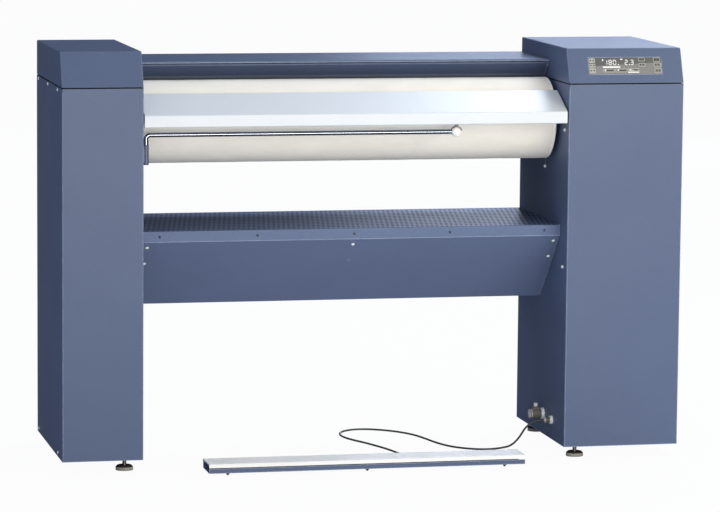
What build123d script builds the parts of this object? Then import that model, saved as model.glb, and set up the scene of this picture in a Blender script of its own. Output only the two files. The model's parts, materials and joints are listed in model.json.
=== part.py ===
"""Flatwork ironer: a heated roller ironer that stands on the floor between two columns.

Millimetres, +X to the right seen from the front, front faces towards -Y, +Z up.
The origin is on the floor, at the middle of the footprint (foot bar included).
"""

import os
from math import acos, cos, degrees, pi, radians, sin, sqrt, tan

from build123d import *

os.makedirs("parts", exist_ok=True)

# ---------------------------------------------------------------- driving dimensions
# columns
gap_width = 1060.0  # clear width between the two columns
left_width = 198.0
right_width = 294.0
column_depth = 460.0
foot_height = 30.0  # floor to the casings' lower edge
seam_height = 938.0  # floor to the joint between casing and cap
cap_height = 85.0
cap_lean = 34.0  # how far the cap's front leans back
sheet = 1.5  # casing sheet
cap_wall = 2.0
bend = 3.0  # outer radius of a bend in the casing
seam_gap = 2.0  # open joint between casing and cap
fit = 0.3  # clearance of a piece that is slid in
rear_flange = 16.0
rear_sheet = 1.2

# roller
roller_radius = 102.0  # over the cover
roller_height = 840.0  # axis above the floor
roller_setback = 176.0  # axis behind the column fronts
roller_left_gap = 10.0  # roller's left end to the left column
roller_right_gap = 10.0  # roller's right end to the right column
cover_thickness = 8.0
cover_lip = 3.0  # cover folded over the tube's ends
cover_lip_width = 14.0
tube_wall = 4.0
shaft_radius = 15.0
running = 0.05  # radial clearance of a shaft in its bore

# heated trough and its press linkage
trough_gap = 0.4  # trough to cover when pressed
trough_thickness = 8.0
trough_lead_in = 4.8  # rounding of the inner edges
trough_end_gap = 10.0  # trough's ends to the columns
trough_top_angle = 48.0  # measured from straight back, upwards
trough_bottom_angle = -58.0
press_angle = 2.0  # swing of the trough from open to pressed
pivot_back = 20.0  # arm pivot behind the roller axis
pivot_drop = 230.0  # arm pivot below the roller axis
stub_angle = -15.0  # where the arm holds the trough
stub_reach = 128.0
stub_radius = 12.0
arm_thickness = 10.0
pivot_pin_radius = 10.0
crank_radius = 8.0
crank_swing = 40.0  # crank turn from open to pressed
link_length = 130.0
link_pin_radius = 5.0
open_pivot_clearance = 0.6  # lower eye of the link round the crank pin

# gears
gear_module = 3.0
gear_teeth = 48
pinion_teeth = 16
pressure_angle = 20.0
backlash = 0.12
mesh_angle = -120.0  # pinion seen from the roller axis, from straight back
gear_width = 20.0

# feed board
flange_top = 869.5
flange_bottom = 840.0
board_rear_setback = 99.0
board_rear_height = 914.5
board_sheet = 2.0
board_left_gap = 3.0
board_right_gap = 4.0

# trough cover and finger guard
cover_top = 986.0
cover_front_setback = 192.0
cover_bottom = 712.0
cover_lip_height = 5.0
guard_gap = 1.5
guard_sheet = 2.0
guard_edge_setback = 228.0
guard_edge_height = 946.0
guard_pin_radius = 3.0
guard_pin_setback = 205.0
guard_pin_drop = 14.0  # below the cover's top
end_gap = 0.5  # sheet parts to the columns

# laundry tray
tray_top_height = 581.0
tray_setback = 66.0
tray_lip = 27.0
tray_bottom = 379.0
tray_bottom_setback = 246.0

# laundry rail
rail_height = 822.0
rail_setback = 12.0
rail_radius = 5.5
rail_bend = 11.0
rail_reach = 769.0  # rail pivot to the knob's centre
knob_radius = 12.5
socket_radius = 7.0
socket_drop = 22.0  # rail's axis above the socket's top
socket_length = 50.0

# foot bar
bar_lead = 86.0  # bar's front edge ahead of the columns
bar_depth = 90.0
bar_length = 790.0
bar_offset = -35.5  # bar's centre from the machine's centre
bar_floor = 7.0
bar_base_top = 18.5
bar_top = 30.0
bar_sheet = 1.5
tread_gap = 2.0  # tread's front flange above the base
tread_plate = 2.5
rib_pitch = 4.5
rib_height = 1.0
bead_radius = 2.5
hook_wall = 1.8
nub_inset = 48.3  # end nubs to the bar's ends

# cable of the foot bar
cable_radius = 2.5

# ---------------------------------------------------------------- places worked out from them
total_width = left_width + gap_width + right_width
left_out = -total_width / 2
left_in = left_out + left_width
right_in = left_in + gap_width
right_out = right_in + right_width
front = -(bar_lead + column_depth) / 2 + bar_lead
back = front + column_depth
cap_top = seam_height + cap_height
roller_y = front + roller_setback
roller_right = right_in - roller_right_gap
roller_left = left_in + roller_left_gap
roller_length = roller_right - roller_left

frame_clear = 5.0  # side plate to the casing's inner wall
plate = 6.0
left_plate = left_in - sheet - frame_clear  # face towards the roller
right_plate = right_in + sheet + frame_clear
left_plate_out = left_plate - plate
right_plate_out = right_plate + plate
base_low = foot_height + 2.0
base_high = base_low + 4.0
frame_top = seam_height - 12.0

pivot_y = roller_y + pivot_back
pivot_z = roller_height - pivot_drop
lug_reach = crank_radius * sin(radians(crank_swing / 2)) / sin(radians(press_angle / 2))
crank_y = pivot_y + lug_reach - crank_radius * (1 + cos(radians(crank_swing / 2))) / 2
crank_z = pivot_z - link_length

guard_pivot_y = front + guard_pin_setback
guard_pivot_z = cover_top - guard_pin_drop

beam_size = 40.0
beam_wall = 3.0
upper_beam_inset = 50.0  # beam's middle ahead of the back
lower_beam_inset = 130.0
upper_beam_y = back - upper_beam_inset
upper_beam_z = cover_top - sheet - beam_size / 2
lower_beam_y = back - lower_beam_inset
lower_beam_z = tray_top_height - sheet - beam_size / 2


def keep(piece, label):
    """Names a finished piece and writes its file."""
    piece.part.label = label
    export_step(piece.part, f"parts/{label}.step")


def between(a, b):
    """Middle of two coordinates."""
    return (a + b) / 2


standing = (Align.CENTER, Align.CENTER, Align.MIN)  # a solid with its foot at its place


# ---------------------------------------------------------------- column casings
stub_start_y = pivot_back * -1 + stub_reach * cos(radians(stub_angle))
stub_start_z = pivot_drop + stub_reach * sin(radians(stub_angle))
open_turn = radians(-press_angle)
stub_y = pivot_y + stub_start_y * cos(open_turn) - stub_start_z * sin(open_turn)
stub_z = pivot_z + stub_start_y * sin(open_turn) + stub_start_z * cos(open_turn)
stub_travel = 2 * pivot_drop * tan(radians(press_angle))
shaft_opening = 24.0
slit_setback = 210.0
slit_bottom = 720.0
slit_top = 780.0
slit_width = 3.0
stub_room_y = 8.0  # stub opening past the stub's travel
stub_room_z = 12.0
stub_opening_width = 2 * stub_radius + stub_travel + stub_room_y
stub_opening_height = 2 * stub_radius + stub_room_z
outer_screw_places = ((76.0, 929.0), (250.0, 929.0), (426.0, 929.0), (78.0, 41.0), (431.0, 41.0))
inner_screw_places = ((34.0, 821.0), (213.0, 713.0), (36.0, 479.0))
small_screw_radius = 2.0
screw_grip = sheet + 0.2


def inner_wall_openings(inner_x):
    """Shaft opening, stub opening, slit, beam and guard pin holes in the wall at inner_x."""
    with BuildSketch(Plane.YZ.offset(inner_x)) as openings:
        with Locations((roller_y, roller_height)):
            Circle(shaft_opening)
        with Locations((stub_y - stub_travel / 4, stub_z)):
            RectangleRounded(stub_opening_width, stub_opening_height, stub_radius)
        with Locations((front + slit_setback, between(slit_bottom, slit_top))):
            Rectangle(slit_width, slit_top - slit_bottom)
        with Locations((upper_beam_y, upper_beam_z), (lower_beam_y, lower_beam_z)):
            Rectangle(beam_size + 2 * fit, beam_size + 2 * fit)
        with Locations((guard_pivot_y, guard_pivot_z)):
            Circle(guard_pin_radius + running)
    return openings.sketch


def column_casing(outer_x, inner_x):
    """Front, two sides and rear flanges of one column, bent from one sheet."""
    width = abs(inner_x - outer_x)
    centre = (between(outer_x, inner_x), between(front, back))
    with BuildPart() as casing:
        with BuildSketch(Plane.XY.offset(foot_height)) as plan:
            with Locations(centre):
                Rectangle(width, column_depth)
            fillet(plan.vertices().group_by(Axis.Y)[0], radius=bend)
            with Locations(centre):
                Rectangle(width - 2 * sheet, column_depth - 2 * sheet, mode=Mode.SUBTRACT)
            with Locations((centre[0], back)):
                Rectangle(width - 2 * rear_flange, 4 * sheet, mode=Mode.SUBTRACT)
        extrude(amount=seam_height - seam_gap - foot_height)
        extrude(inner_wall_openings(inner_x), amount=2 * sheet, both=True, mode=Mode.SUBTRACT)
        for wall_x, places in ((outer_x, outer_screw_places), (inner_x, inner_screw_places)):
            with BuildSketch(Plane.YZ.offset(wall_x)):
                with Locations(*[(front + setback, height) for setback, height in places]):
                    Circle(small_screw_radius + running)
            extrude(amount=2 * sheet, both=True, mode=Mode.SUBTRACT)
    return casing


left_casing = column_casing(left_out, left_in)
keep(left_casing, "left_casing")
right_casing = column_casing(right_out, right_in)
keep(right_casing, "right_casing")


# ---------------------------------------------------------------- column caps
lean = sqrt(cap_lean**2 + cap_height**2)
glass_width = 187.0
glass_height = 43.0
glass_up = 45.3  # seam to the glass's middle, along the sloping front
glass_x = between(right_in, right_out)
sloping_front = Plane(
    origin=(glass_x, front + cap_lean * glass_up / lean, seam_height + cap_height * glass_up / lean),
    x_dir=(1, 0, 0),
    z_dir=(0, -cap_height, cap_lean),
)


def column_cap(low_x, high_x, inner_x, window=False):
    """Hollow cap with a sloping front, open underneath."""
    with BuildPart() as cap:
        with BuildSketch(Plane.YZ.offset(low_x)):
            with BuildLine():
                Polyline(
                    (front, seam_height),
                    (front + cap_lean, cap_top),
                    (back, cap_top),
                    (back, seam_height),
                    close=True,
                )
            make_face()
        extrude(amount=high_x - low_x)
        rounded = cap.edges().filter_by(lambda edge: edge.center().Z > seam_height + 1)
        fillet(rounded, radius=bend)
        offset(amount=-cap_wall, openings=cap.faces().sort_by(Axis.Z)[0])
        extrude(inner_wall_openings(inner_x), amount=2 * cap_wall, both=True, mode=Mode.SUBTRACT)
        if window:
            with BuildSketch(sloping_front):
                Rectangle(glass_width + 2 * fit, glass_height + 2 * fit)
            extrude(amount=3 * cap_wall, both=True, mode=Mode.SUBTRACT)
    return cap


left_cap = column_cap(left_out, left_in, left_in)
keep(left_cap, "left_cap")
right_cap = column_cap(right_in, right_out, right_in, window=True)
keep(right_cap, "right_cap")


# ---------------------------------------------------------------- control panel
glass_thickness = 3.0
glass_rim = 6.0

with BuildPart() as control_glass:
    with BuildSketch(sloping_front.offset(-cap_wall)):
        Rectangle(glass_width, glass_height)
    extrude(amount=cap_wall)
    with BuildSketch(sloping_front.offset(-cap_wall - glass_thickness)):
        Rectangle(glass_width + 2 * glass_rim, glass_height + 2 * glass_rim)
    extrude(amount=glass_thickness)
keep(control_glass, "control_glass")

board_box_depth = 14.0
chip_width = 22.0
chip_height = 14.0
chip_depth = 8.0
with BuildPart() as control_board:
    with BuildSketch(sloping_front.offset(-cap_wall - glass_thickness)):
        Rectangle(glass_width, glass_height + glass_rim)
    extrude(amount=-board_box_depth)
    with BuildSketch(sloping_front.offset(-cap_wall - glass_thickness - board_box_depth)):
        with GridLocations(glass_width / 3, glass_height / 2, 3, 2):
            Rectangle(chip_width, chip_height)
    extrude(amount=-chip_depth)
keep(control_board, "control_board")


# ---------------------------------------------------------------- rear panels
louvre_pitch = 16.0
louvre_count = 9
louvre_height = 5.0
louvre_share = 0.45  # slot length as a share of the panel's width
louvre_middles = (800.0, 180.0)  # heights of the two fields
panel_edge = 8.0  # panel to the casing's lower and upper edges


def rear_panel(low_x, high_x, grommet_x=None):
    """Flat cover behind the rear flanges, with two fields of air slots."""
    middle_x = between(low_x, high_x)
    with BuildPart() as panel:
        with BuildSketch(Plane.XZ.offset(-(back - sheet))) as outline:
            with Locations((middle_x, between(foot_height, seam_height))):
                Rectangle(high_x - low_x - 2 * (sheet + fit), seam_height - foot_height - 2 * panel_edge)
            with Locations(*[(middle_x, height) for height in louvre_middles]):
                with GridLocations(1.0, louvre_pitch, 1, louvre_count):
                    SlotOverall((high_x - low_x) * louvre_share, louvre_height, mode=Mode.SUBTRACT)
            if grommet_x is not None:
                with Locations((grommet_x, grommet_z)):
                    Circle(grommet_neck, mode=Mode.SUBTRACT)
        extrude(amount=rear_sheet)
    return panel


grommet_radius = 15.0
grommet_rim = 2.0  # width of the rim on both sides of the panel
grommet_flange = 1.2
grommet_inset = 60.0  # from the right side
grommet_neck = grommet_radius - grommet_rim
grommet_z = 70.0
grommet_x = right_out - grommet_inset
mains_bore = 6.0
left_rear_panel = rear_panel(left_out, left_in)
right_rear_panel = rear_panel(right_in, right_out, grommet_x)
keep(left_rear_panel, "left_rear_panel")
keep(right_rear_panel, "right_rear_panel")

with BuildPart() as mains_grommet:
    with BuildSketch(Plane.XZ.offset(-(back - sheet))):
        with Locations((grommet_x, grommet_z)):
            Circle(grommet_radius)
    extrude(amount=-grommet_flange)
    with BuildSketch(Plane.XZ.offset(-(back - sheet))):
        with Locations((grommet_x, grommet_z)):
            Circle(grommet_neck - running)
    extrude(amount=rear_sheet + grommet_rim)
    with BuildSketch(Plane.XZ.offset(-back)):
        with Locations((grommet_x, grommet_z)):
            Circle(mains_bore)
    extrude(amount=grommet_radius, mode=Mode.SUBTRACT)
keep(mains_grommet, "mains_grommet")


# ---------------------------------------------------------------- column frames
plate_inset = 14.0
foot_inset = 40.0  # feet outward from the columns' inner faces
foot_front = 44.0
foot_rear = 45.0  # from the back
stud_radius = 5.0
post_size = 25.0
post_wall = 2.0
rail_bar = 4.0
bearing_depth = 28.0
gear_clear = 4.0  # bearing to gear, gear to motor bracket
bearing_hole = 20.0
gear_x = right_plate_out + bearing_depth + gear_clear
bracket_x = gear_x + gear_width + 2 * gear_clear
bracket_plate = 6.0
spacer_radius = 6.0
centre_distance = gear_module * (gear_teeth + pinion_teeth) / 2
pinion_y = roller_y + centre_distance * cos(radians(mesh_angle))
pinion_z = roller_height + centre_distance * sin(radians(mesh_angle))
spacers = ((-50.0, -50.0), (50.0, -50.0), (-50.0, 30.0), (50.0, -12.0))
press_box = 84.0  # press gearbox, square
shelf_length = 190.0
shelf_plate = 6.0
shelf_margin = 8.0  # shelf past the press gearbox
window_width = 276.0  # wiring window in the side plate
window_height = 260.0
window_corner = 30.0
motor_bracket_width = 120.0
motor_bracket_height = 100.0
motor_bracket_corner = 8.0
motor_bracket_drop = 10.0  # middle below the pinion
pinion_hole = 12.0


def foot_places(inner_x, side):
    """The two feet under one column, as points on the floor."""
    x = inner_x + side * foot_inset
    return (x, front + foot_front), (x, back - foot_rear)


def column_frame(outer_x, inner_x, plate_x, side):
    """Welded frame: base plate, side plate, two outer posts and their top rails."""
    width = abs(outer_x - inner_x) - 2 * (sheet + fit)
    depth_low = front + sheet + fit
    depth_high = back - sheet - rear_sheet - fit
    post_x = outer_x - side * (sheet + fit + post_size / 2)
    post_places = (
        (post_x, front + sheet + plate_inset + post_size / 2),
        (post_x, back - sheet - plate_inset - post_size / 2),
    )
    rail_length = abs(post_x - plate_x) - plate
    with BuildPart() as frame:
        with BuildSketch(Plane.XY.offset(base_low)):
            with Locations((between(outer_x, inner_x), between(depth_low, depth_high))):
                Rectangle(width, depth_high - depth_low)
            with Locations(*foot_places(inner_x, side)):
                Circle(stud_radius + fit, mode=Mode.SUBTRACT)
        extrude(amount=base_high - base_low)
        with BuildSketch(Plane.YZ.offset(plate_x)):
            with BuildLine():
                Polyline(
                    (front + plate_inset, base_high),
                    (front + plate_inset, frame_top),
                    (upper_beam_y - beam_size, frame_top),
                    (upper_beam_y - beam_size, upper_beam_z + beam_size / 2),
                    (upper_beam_y + beam_size / 2, upper_beam_z + beam_size / 2),
                    (upper_beam_y + beam_size / 2, frame_top),
                    (back - plate_inset, frame_top),
                    (back - plate_inset, base_high),
                    close=True,
                )
            make_face()
            with Locations((roller_y, roller_height)):
                Circle(bearing_hole, mode=Mode.SUBTRACT)
            with Locations((stub_y - stub_travel / 4, stub_z)):
                RectangleRounded(
                    stub_opening_width, stub_opening_height, stub_radius, mode=Mode.SUBTRACT
                )
            with Locations((between(front, back), between(base_high, lower_beam_z))):
                RectangleRounded(window_width, window_height, window_corner, mode=Mode.SUBTRACT)
        extrude(amount=side * plate)
        with BuildSketch(Plane.XY.offset(base_high)):
            with Locations(*post_places):
                Rectangle(post_size, post_size)
                Rectangle(post_size - 2 * post_wall, post_size - 2 * post_wall, mode=Mode.SUBTRACT)
        extrude(amount=frame_top - base_high)
        with BuildSketch(Plane.XY.offset(frame_top - post_size)):
            for _, post_y in post_places:
                with Locations((between(post_x, plate_x + side * plate), post_y)):
                    Rectangle(rail_length, rail_bar)
        extrude(amount=post_size)
        if side > 0:
            with BuildSketch(Plane.YZ.offset(right_plate_out)):
                for spacer_y, spacer_z in spacers:
                    with Locations((pinion_y + spacer_y, pinion_z + spacer_z)):
                        Circle(spacer_radius)
            extrude(amount=bracket_x - right_plate_out)
            with BuildSketch(Plane.YZ.offset(bracket_x)):
                with Locations((pinion_y, pinion_z - motor_bracket_drop)):
                    RectangleRounded(motor_bracket_width, motor_bracket_height, motor_bracket_corner)
                with Locations((pinion_y, pinion_z)):
                    Circle(pinion_hole, mode=Mode.SUBTRACT)
            extrude(amount=bracket_plate)
            with BuildSketch(Plane.XY.offset(crank_z - press_box / 2 - shelf_plate)):
                with Locations((right_plate_out + shelf_length / 2, crank_y)):
                    Rectangle(shelf_length, press_box + 2 * shelf_margin)
            extrude(amount=shelf_plate)
    return frame


left_frame = column_frame(left_out, left_in, left_plate, -1)
keep(left_frame, "left_frame")
right_frame = column_frame(right_out, right_in, right_plate, 1)
keep(right_frame, "right_frame")

with BuildPart() as cross_beams:
    with BuildSketch(Plane.YZ.offset(left_plate)):
        with Locations((upper_beam_y, upper_beam_z), (lower_beam_y, lower_beam_z)):
            Rectangle(beam_size, beam_size)
            Rectangle(beam_size - 2 * beam_wall, beam_size - 2 * beam_wall, mode=Mode.SUBTRACT)
    extrude(amount=right_plate - left_plate)
keep(cross_beams, "cross_beams")


# ---------------------------------------------------------------- levelling feet
pad_radius = 21.5
pad_height = 12.0
stud_seat = 8.0  # floor to the stud's end in the pad
pad_chamfer = 4.0
nut_height = 6.0
nut_half = 8.5  # middle to a flat
stud_spare = 6.0  # stud above the upper nut
feet = foot_places(left_in, -1) + foot_places(right_in, 1)

with BuildPart() as foot_pads:
    with BuildSketch(Plane.XY):
        with Locations(*feet):
            Circle(pad_radius)
    extrude(amount=pad_height)
    chamfer(foot_pads.faces().filter_by(Axis.Z).group_by(Axis.Z)[-1].edges(), pad_chamfer)
    with BuildSketch(Plane.XY.offset(stud_seat)):
        with Locations(*feet):
            Circle(stud_radius + running)
    extrude(amount=pad_height, mode=Mode.SUBTRACT)
keep(foot_pads, "foot_pads")

with BuildPart() as foot_studs:
    with BuildSketch(Plane.XY.offset(stud_seat)):
        with Locations(*feet):
            Circle(stud_radius)
    extrude(amount=base_high + nut_height + stud_spare - stud_seat)
    with BuildSketch(Plane.XY.offset(base_low - nut_height)):
        with Locations(*feet):
            RegularPolygon(nut_half, 6, major_radius=False)
    extrude(amount=nut_height)
    with BuildSketch(Plane.XY.offset(base_high)):
        with Locations(*feet):
            RegularPolygon(nut_half, 6, major_radius=False)
    extrude(amount=nut_height)
keep(foot_studs, "foot_studs")


# ---------------------------------------------------------------- roller
tube_radius = roller_radius - cover_thickness
bore_radius = tube_radius - running - tube_wall
disc_thickness = 8.0
disc_inset = 6.0
disc_hole_pitch = 60.0  # radius of the ring of holes
disc_hole_radius = 14.0
hub_radius = 28.0
hub_length = 24.0
roller_axis = Axis((0, roller_y, roller_height), (1, 0, 0))
roller_plane = Plane(origin=(0, roller_y, roller_height), x_dir=(1, 0, 0), z_dir=(0, -1, 0))
shoulder = 6.0

with BuildPart() as roller_tube:
    with BuildSketch(Plane.YZ.offset(roller_left + cover_lip)):
        with Locations((roller_y, roller_height)):
            Circle(tube_radius - running)
            Circle(bore_radius, mode=Mode.SUBTRACT)
    extrude(amount=roller_length - 2 * cover_lip)
keep(roller_tube, "roller_tube")

with BuildPart() as roller_cover:
    with BuildSketch(roller_plane) as section:
        with BuildLine():
            Polyline(
                (roller_left, tube_radius - cover_lip_width),
                (roller_left, roller_radius),
                (roller_right, roller_radius),
                (roller_right, tube_radius - cover_lip_width),
                (roller_right - cover_lip, tube_radius - cover_lip_width),
                (roller_right - cover_lip, tube_radius),
                (roller_left + cover_lip, tube_radius),
                (roller_left + cover_lip, tube_radius - cover_lip_width),
                close=True,
            )
        make_face()
        fillet(section.vertices().group_by(Axis.Y)[-1], radius=shoulder)
    revolve(axis=roller_axis)
keep(roller_cover, "roller_cover")


def roller_end(inner_face, shaft_end, side):
    """Disc, hub and stub shaft welded into one end of the roller tube."""
    with BuildPart() as end:
        with BuildSketch(Plane.YZ.offset(inner_face)):
            with Locations((roller_y, roller_height)):
                Circle(bore_radius - running)
                with PolarLocations(disc_hole_pitch, 6):
                    Circle(disc_hole_radius, mode=Mode.SUBTRACT)
        extrude(amount=side * disc_thickness)
        with BuildSketch(Plane.YZ.offset(inner_face - side * disc_thickness)):
            with Locations((roller_y, roller_height)):
                Circle(hub_radius)
        extrude(amount=side * hub_length)
        with BuildSketch(Plane.YZ.offset(inner_face)):
            with Locations((roller_y, roller_height)):
                Circle(shaft_radius)
        extrude(amount=shaft_end - inner_face)
    return end


end_inset = cover_lip + disc_inset + disc_thickness
left_shaft_end = left_plate_out - bearing_depth - gear_clear
right_shaft_end = gear_x + gear_width + gear_clear
left_roller_end = roller_end(roller_left + end_inset, left_shaft_end, -1)
keep(left_roller_end, "left_roller_end")
right_roller_end = roller_end(roller_right - end_inset, right_shaft_end, 1)
keep(right_roller_end, "right_roller_end")


bearing_flange = 84.0
bearing_corner = 12.0
bearing_plate = 10.0
bearing_radius = 33.0
bolt_pitch = 62.0
bolt_size = 7.0
bolt_head = 6.0


def flange_bearing(face_x, side):
    """Flanged bearing unit bolted to the outer face of a side plate."""
    with BuildPart() as bearing:
        with BuildSketch(Plane.YZ.offset(face_x)):
            with Locations((roller_y, roller_height)):
                RectangleRounded(bearing_flange, bearing_flange, bearing_corner)
        extrude(amount=side * bearing_plate)
        with BuildSketch(Plane.YZ.offset(face_x)):
            with Locations((roller_y, roller_height)):
                Circle(bearing_radius)
        extrude(amount=side * bearing_depth)
        with BuildSketch(Plane.YZ.offset(face_x + side * bearing_plate)):
            with Locations((roller_y, roller_height)):
                with GridLocations(bolt_pitch, bolt_pitch, 2, 2):
                    RegularPolygon(bolt_size, 6)
        extrude(amount=side * bolt_head)
        with BuildSketch(Plane.YZ.offset(face_x)):
            with Locations((roller_y, roller_height)):
                Circle(shaft_radius + running)
        extrude(amount=side * bearing_depth, mode=Mode.SUBTRACT)
    return bearing


left_bearing = flange_bearing(left_plate_out, -1)
keep(left_bearing, "left_bearing")
right_bearing = flange_bearing(right_plate_out, 1)
keep(right_bearing, "right_bearing")


# ---------------------------------------------------------------- roller drive
def involute(angle):
    """Roll of an involute at a pressure angle, in radians."""
    return tan(angle) - angle


def gear_outline(teeth, tooth_angle):
    """Points of a spur gear's outline round the origin, one tooth centred at tooth_angle."""
    pitch = gear_module * teeth / 2
    base = pitch * cos(radians(pressure_angle))
    root = pitch - 1.25 * gear_module
    tip = pitch + gear_module
    flank = (root, max(base, root + 0.3), pitch, (pitch + tip) / 2, tip)
    half_angles = []
    for radius in flank:
        roll = involute(acos(base / radius)) if radius > base else 0.0
        half = pi / (2 * teeth) - backlash / (2 * pitch) + involute(radians(pressure_angle)) - roll
        half_angles.append(half)
    outline = []
    for tooth in range(teeth):
        centre = radians(tooth_angle) + 2 * pi * tooth / teeth
        rising = [(radius, centre - half) for radius, half in zip(flank, half_angles)]
        falling = [(radius, centre + half) for radius, half in zip(flank[::-1], half_angles[::-1])]
        outline += [(radius * cos(turn), radius * sin(turn)) for radius, turn in rising + falling]
    return outline


gear_hole_pitch = 44.0  # radius of the ring of holes in the web
gear_hole_radius = 13.0
with BuildPart() as drive_gear:
    with BuildSketch(Plane.YZ.offset(gear_x)):
        with Locations((roller_y, roller_height)):
            Polygon(*gear_outline(gear_teeth, mesh_angle + 180 / gear_teeth), align=None)
            with PolarLocations(gear_hole_pitch, 5):
                Circle(gear_hole_radius, mode=Mode.SUBTRACT)
            Circle(shaft_radius + running, mode=Mode.SUBTRACT)
    extrude(amount=gear_width)
keep(drive_gear, "drive_gear")

pinion_shaft = 8.0
pinion_proud = 1.0  # pinion past the gear on each side
pinion_grip = 20.0  # shaft inside the gearbox
with BuildPart() as drive_pinion:
    with BuildSketch(Plane.YZ.offset(gear_x - pinion_proud)):
        with Locations((pinion_y, pinion_z)):
            Polygon(*gear_outline(pinion_teeth, mesh_angle + 180), align=None)
    extrude(amount=gear_width + 2 * pinion_proud)
    with BuildSketch(Plane.YZ.offset(gear_x)):
        with Locations((pinion_y, pinion_z)):
            Circle(pinion_shaft)
    extrude(amount=bracket_x + bracket_plate + pinion_grip - gear_x)
keep(drive_pinion, "drive_pinion")


gearbox_depth = 50.0
gearbox_corner = 12.0
gearbox_bore = 35.0
fin_height = 10.0
fin_thickness = 2.4
fin_count = 18
cowl_length = 42.0


def gearmotor(face_x, shaft_y, shaft_z, shaft, box, motor_radius, motor_length):
    """Gearbox with a shaft bore, and a finned motor with its fan cowl, along +X."""
    fins_x = face_x + gearbox_depth
    cowl_x = fins_x + motor_length - cowl_length
    with BuildPart() as motor:
        with BuildSketch(Plane.YZ.offset(face_x)):
            with Locations((shaft_y, shaft_z)):
                RectangleRounded(box, box, gearbox_corner)
        extrude(amount=gearbox_depth)
        with BuildSketch(Plane.YZ.offset(fins_x)):
            with Locations((shaft_y, shaft_z)):
                Circle(motor_radius - fin_height / 2)
                with PolarLocations(motor_radius - fin_height / 2, fin_count):
                    Rectangle(fin_height, fin_thickness)
        extrude(amount=cowl_x - fins_x)
        with BuildSketch(Plane.YZ.offset(cowl_x)):
            with Locations((shaft_y, shaft_z)):
                Circle(motor_radius)
        extrude(amount=cowl_length)
        with BuildSketch(Plane.YZ.offset(face_x)):
            with Locations((shaft_y, shaft_z)):
                Circle(shaft + running)
        extrude(amount=gearbox_bore, mode=Mode.SUBTRACT)
    return motor


drive_box = 92.0  # drive gearbox, square
drive_motor_radius = 46.0
drive_motor_length = 140.0
drive_gearmotor = gearmotor(
    bracket_x + bracket_plate,
    pinion_y,
    pinion_z,
    pinion_shaft,
    drive_box,
    drive_motor_radius,
    drive_motor_length,
)
keep(drive_gearmotor, "drive_gearmotor")


# ---------------------------------------------------------------- heated trough
trough_left = left_in + trough_end_gap
trough_right = right_in - trough_end_gap
trough_inner = roller_radius + trough_gap
trough_outer = trough_inner + trough_thickness
roller_centre = (-pivot_back, pivot_drop)  # seen from the arm pivot, trough pressed
stub_centre = (
    roller_centre[0] + stub_reach * cos(radians(stub_angle)),
    roller_centre[1] + stub_reach * sin(radians(stub_angle)),
)
bracket_thickness = 6.0
bracket_angles = (-34.0, 6.0)  # end brackets that carry the stubs
bracket_reach = stub_reach + 22.0
bracket_bite = 2.0  # into the trough plate
element_radius = 4.25
element_half_gap = 18.0
element_angles = (-38.0, -6.0, 28.0)
clamp_bar = 3.0
clamp_count = 5
clamp_inset = 20.0  # outer clamps to the elements' ends
clamp_width = 18.0
clamp_overhang = 7.0  # bar past the element on each side
clamp_stem = 12.0


def swing_plane(x):
    """Plane across the machine at x, turned back from the pressed to the open trough."""
    turn = radians(press_angle)
    return Plane(origin=(x, pivot_y, pivot_z), x_dir=(0, cos(turn), -sin(turn)), z_dir=(1, 0, 0))


def ring_sector(inner, outer, low_angle, high_angle):
    """Sector of a ring round the pressed trough's centre, as a sketch."""
    with BuildSketch() as sector:
        with BuildLine():
            outside = CenterArc(roller_centre, outer, low_angle, high_angle - low_angle)
            inside = CenterArc(roller_centre, inner, low_angle, high_angle - low_angle)
            Line(outside @ 0, inside @ 0)
            Line(outside @ 1, inside @ 1)
        make_face()
    return sector.sketch


with BuildPart() as trough_plate:
    with BuildSketch(swing_plane(trough_left)):
        add(ring_sector(trough_inner, trough_outer, trough_bottom_angle, trough_top_angle))
    extrude(amount=trough_right - trough_left)
    trough_centre = swing_plane(0).from_local_coords(Vector(*roller_centre, 0))
    inner_edges = trough_plate.edges().filter_by(Axis.X).sort_by_distance(trough_centre)[:2]
    fillet(inner_edges, radius=trough_lead_in)
    for bracket_low in (trough_left, trough_right - bracket_thickness):
        with BuildSketch(swing_plane(bracket_low)):
            add(ring_sector(trough_outer - bracket_bite, bracket_reach, *bracket_angles))
        extrude(amount=bracket_thickness)
keep(trough_plate, "trough_plate")

element_plane_reach = trough_outer + element_radius + running
element_left_inset = 60.0
element_right_inset = 30.0
element_left = trough_left + element_left_inset
element_right = trough_right - element_right_inset
with BuildPart() as heating_elements:
    for element_angle in element_angles:
        tilt = radians(element_angle - press_angle)
        outward = Vector(0, cos(tilt), sin(tilt))
        level = trough_centre + outward * element_plane_reach
        lying = Plane(origin=level, x_dir=(1, 0, 0), z_dir=outward)
        with BuildLine(lying) as hairpin:
            Line((element_right, -element_half_gap), (element_left, -element_half_gap))
            CenterArc((element_left, 0), element_half_gap, 90.0, 180.0)
            Line((element_left, element_half_gap), (element_right, element_half_gap))
        with BuildSketch(Plane(origin=hairpin.line @ 0, z_dir=hairpin.line % 0)):
            Circle(element_radius)
        sweep(path=hairpin.line)
keep(heating_elements, "heating_elements")

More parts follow.
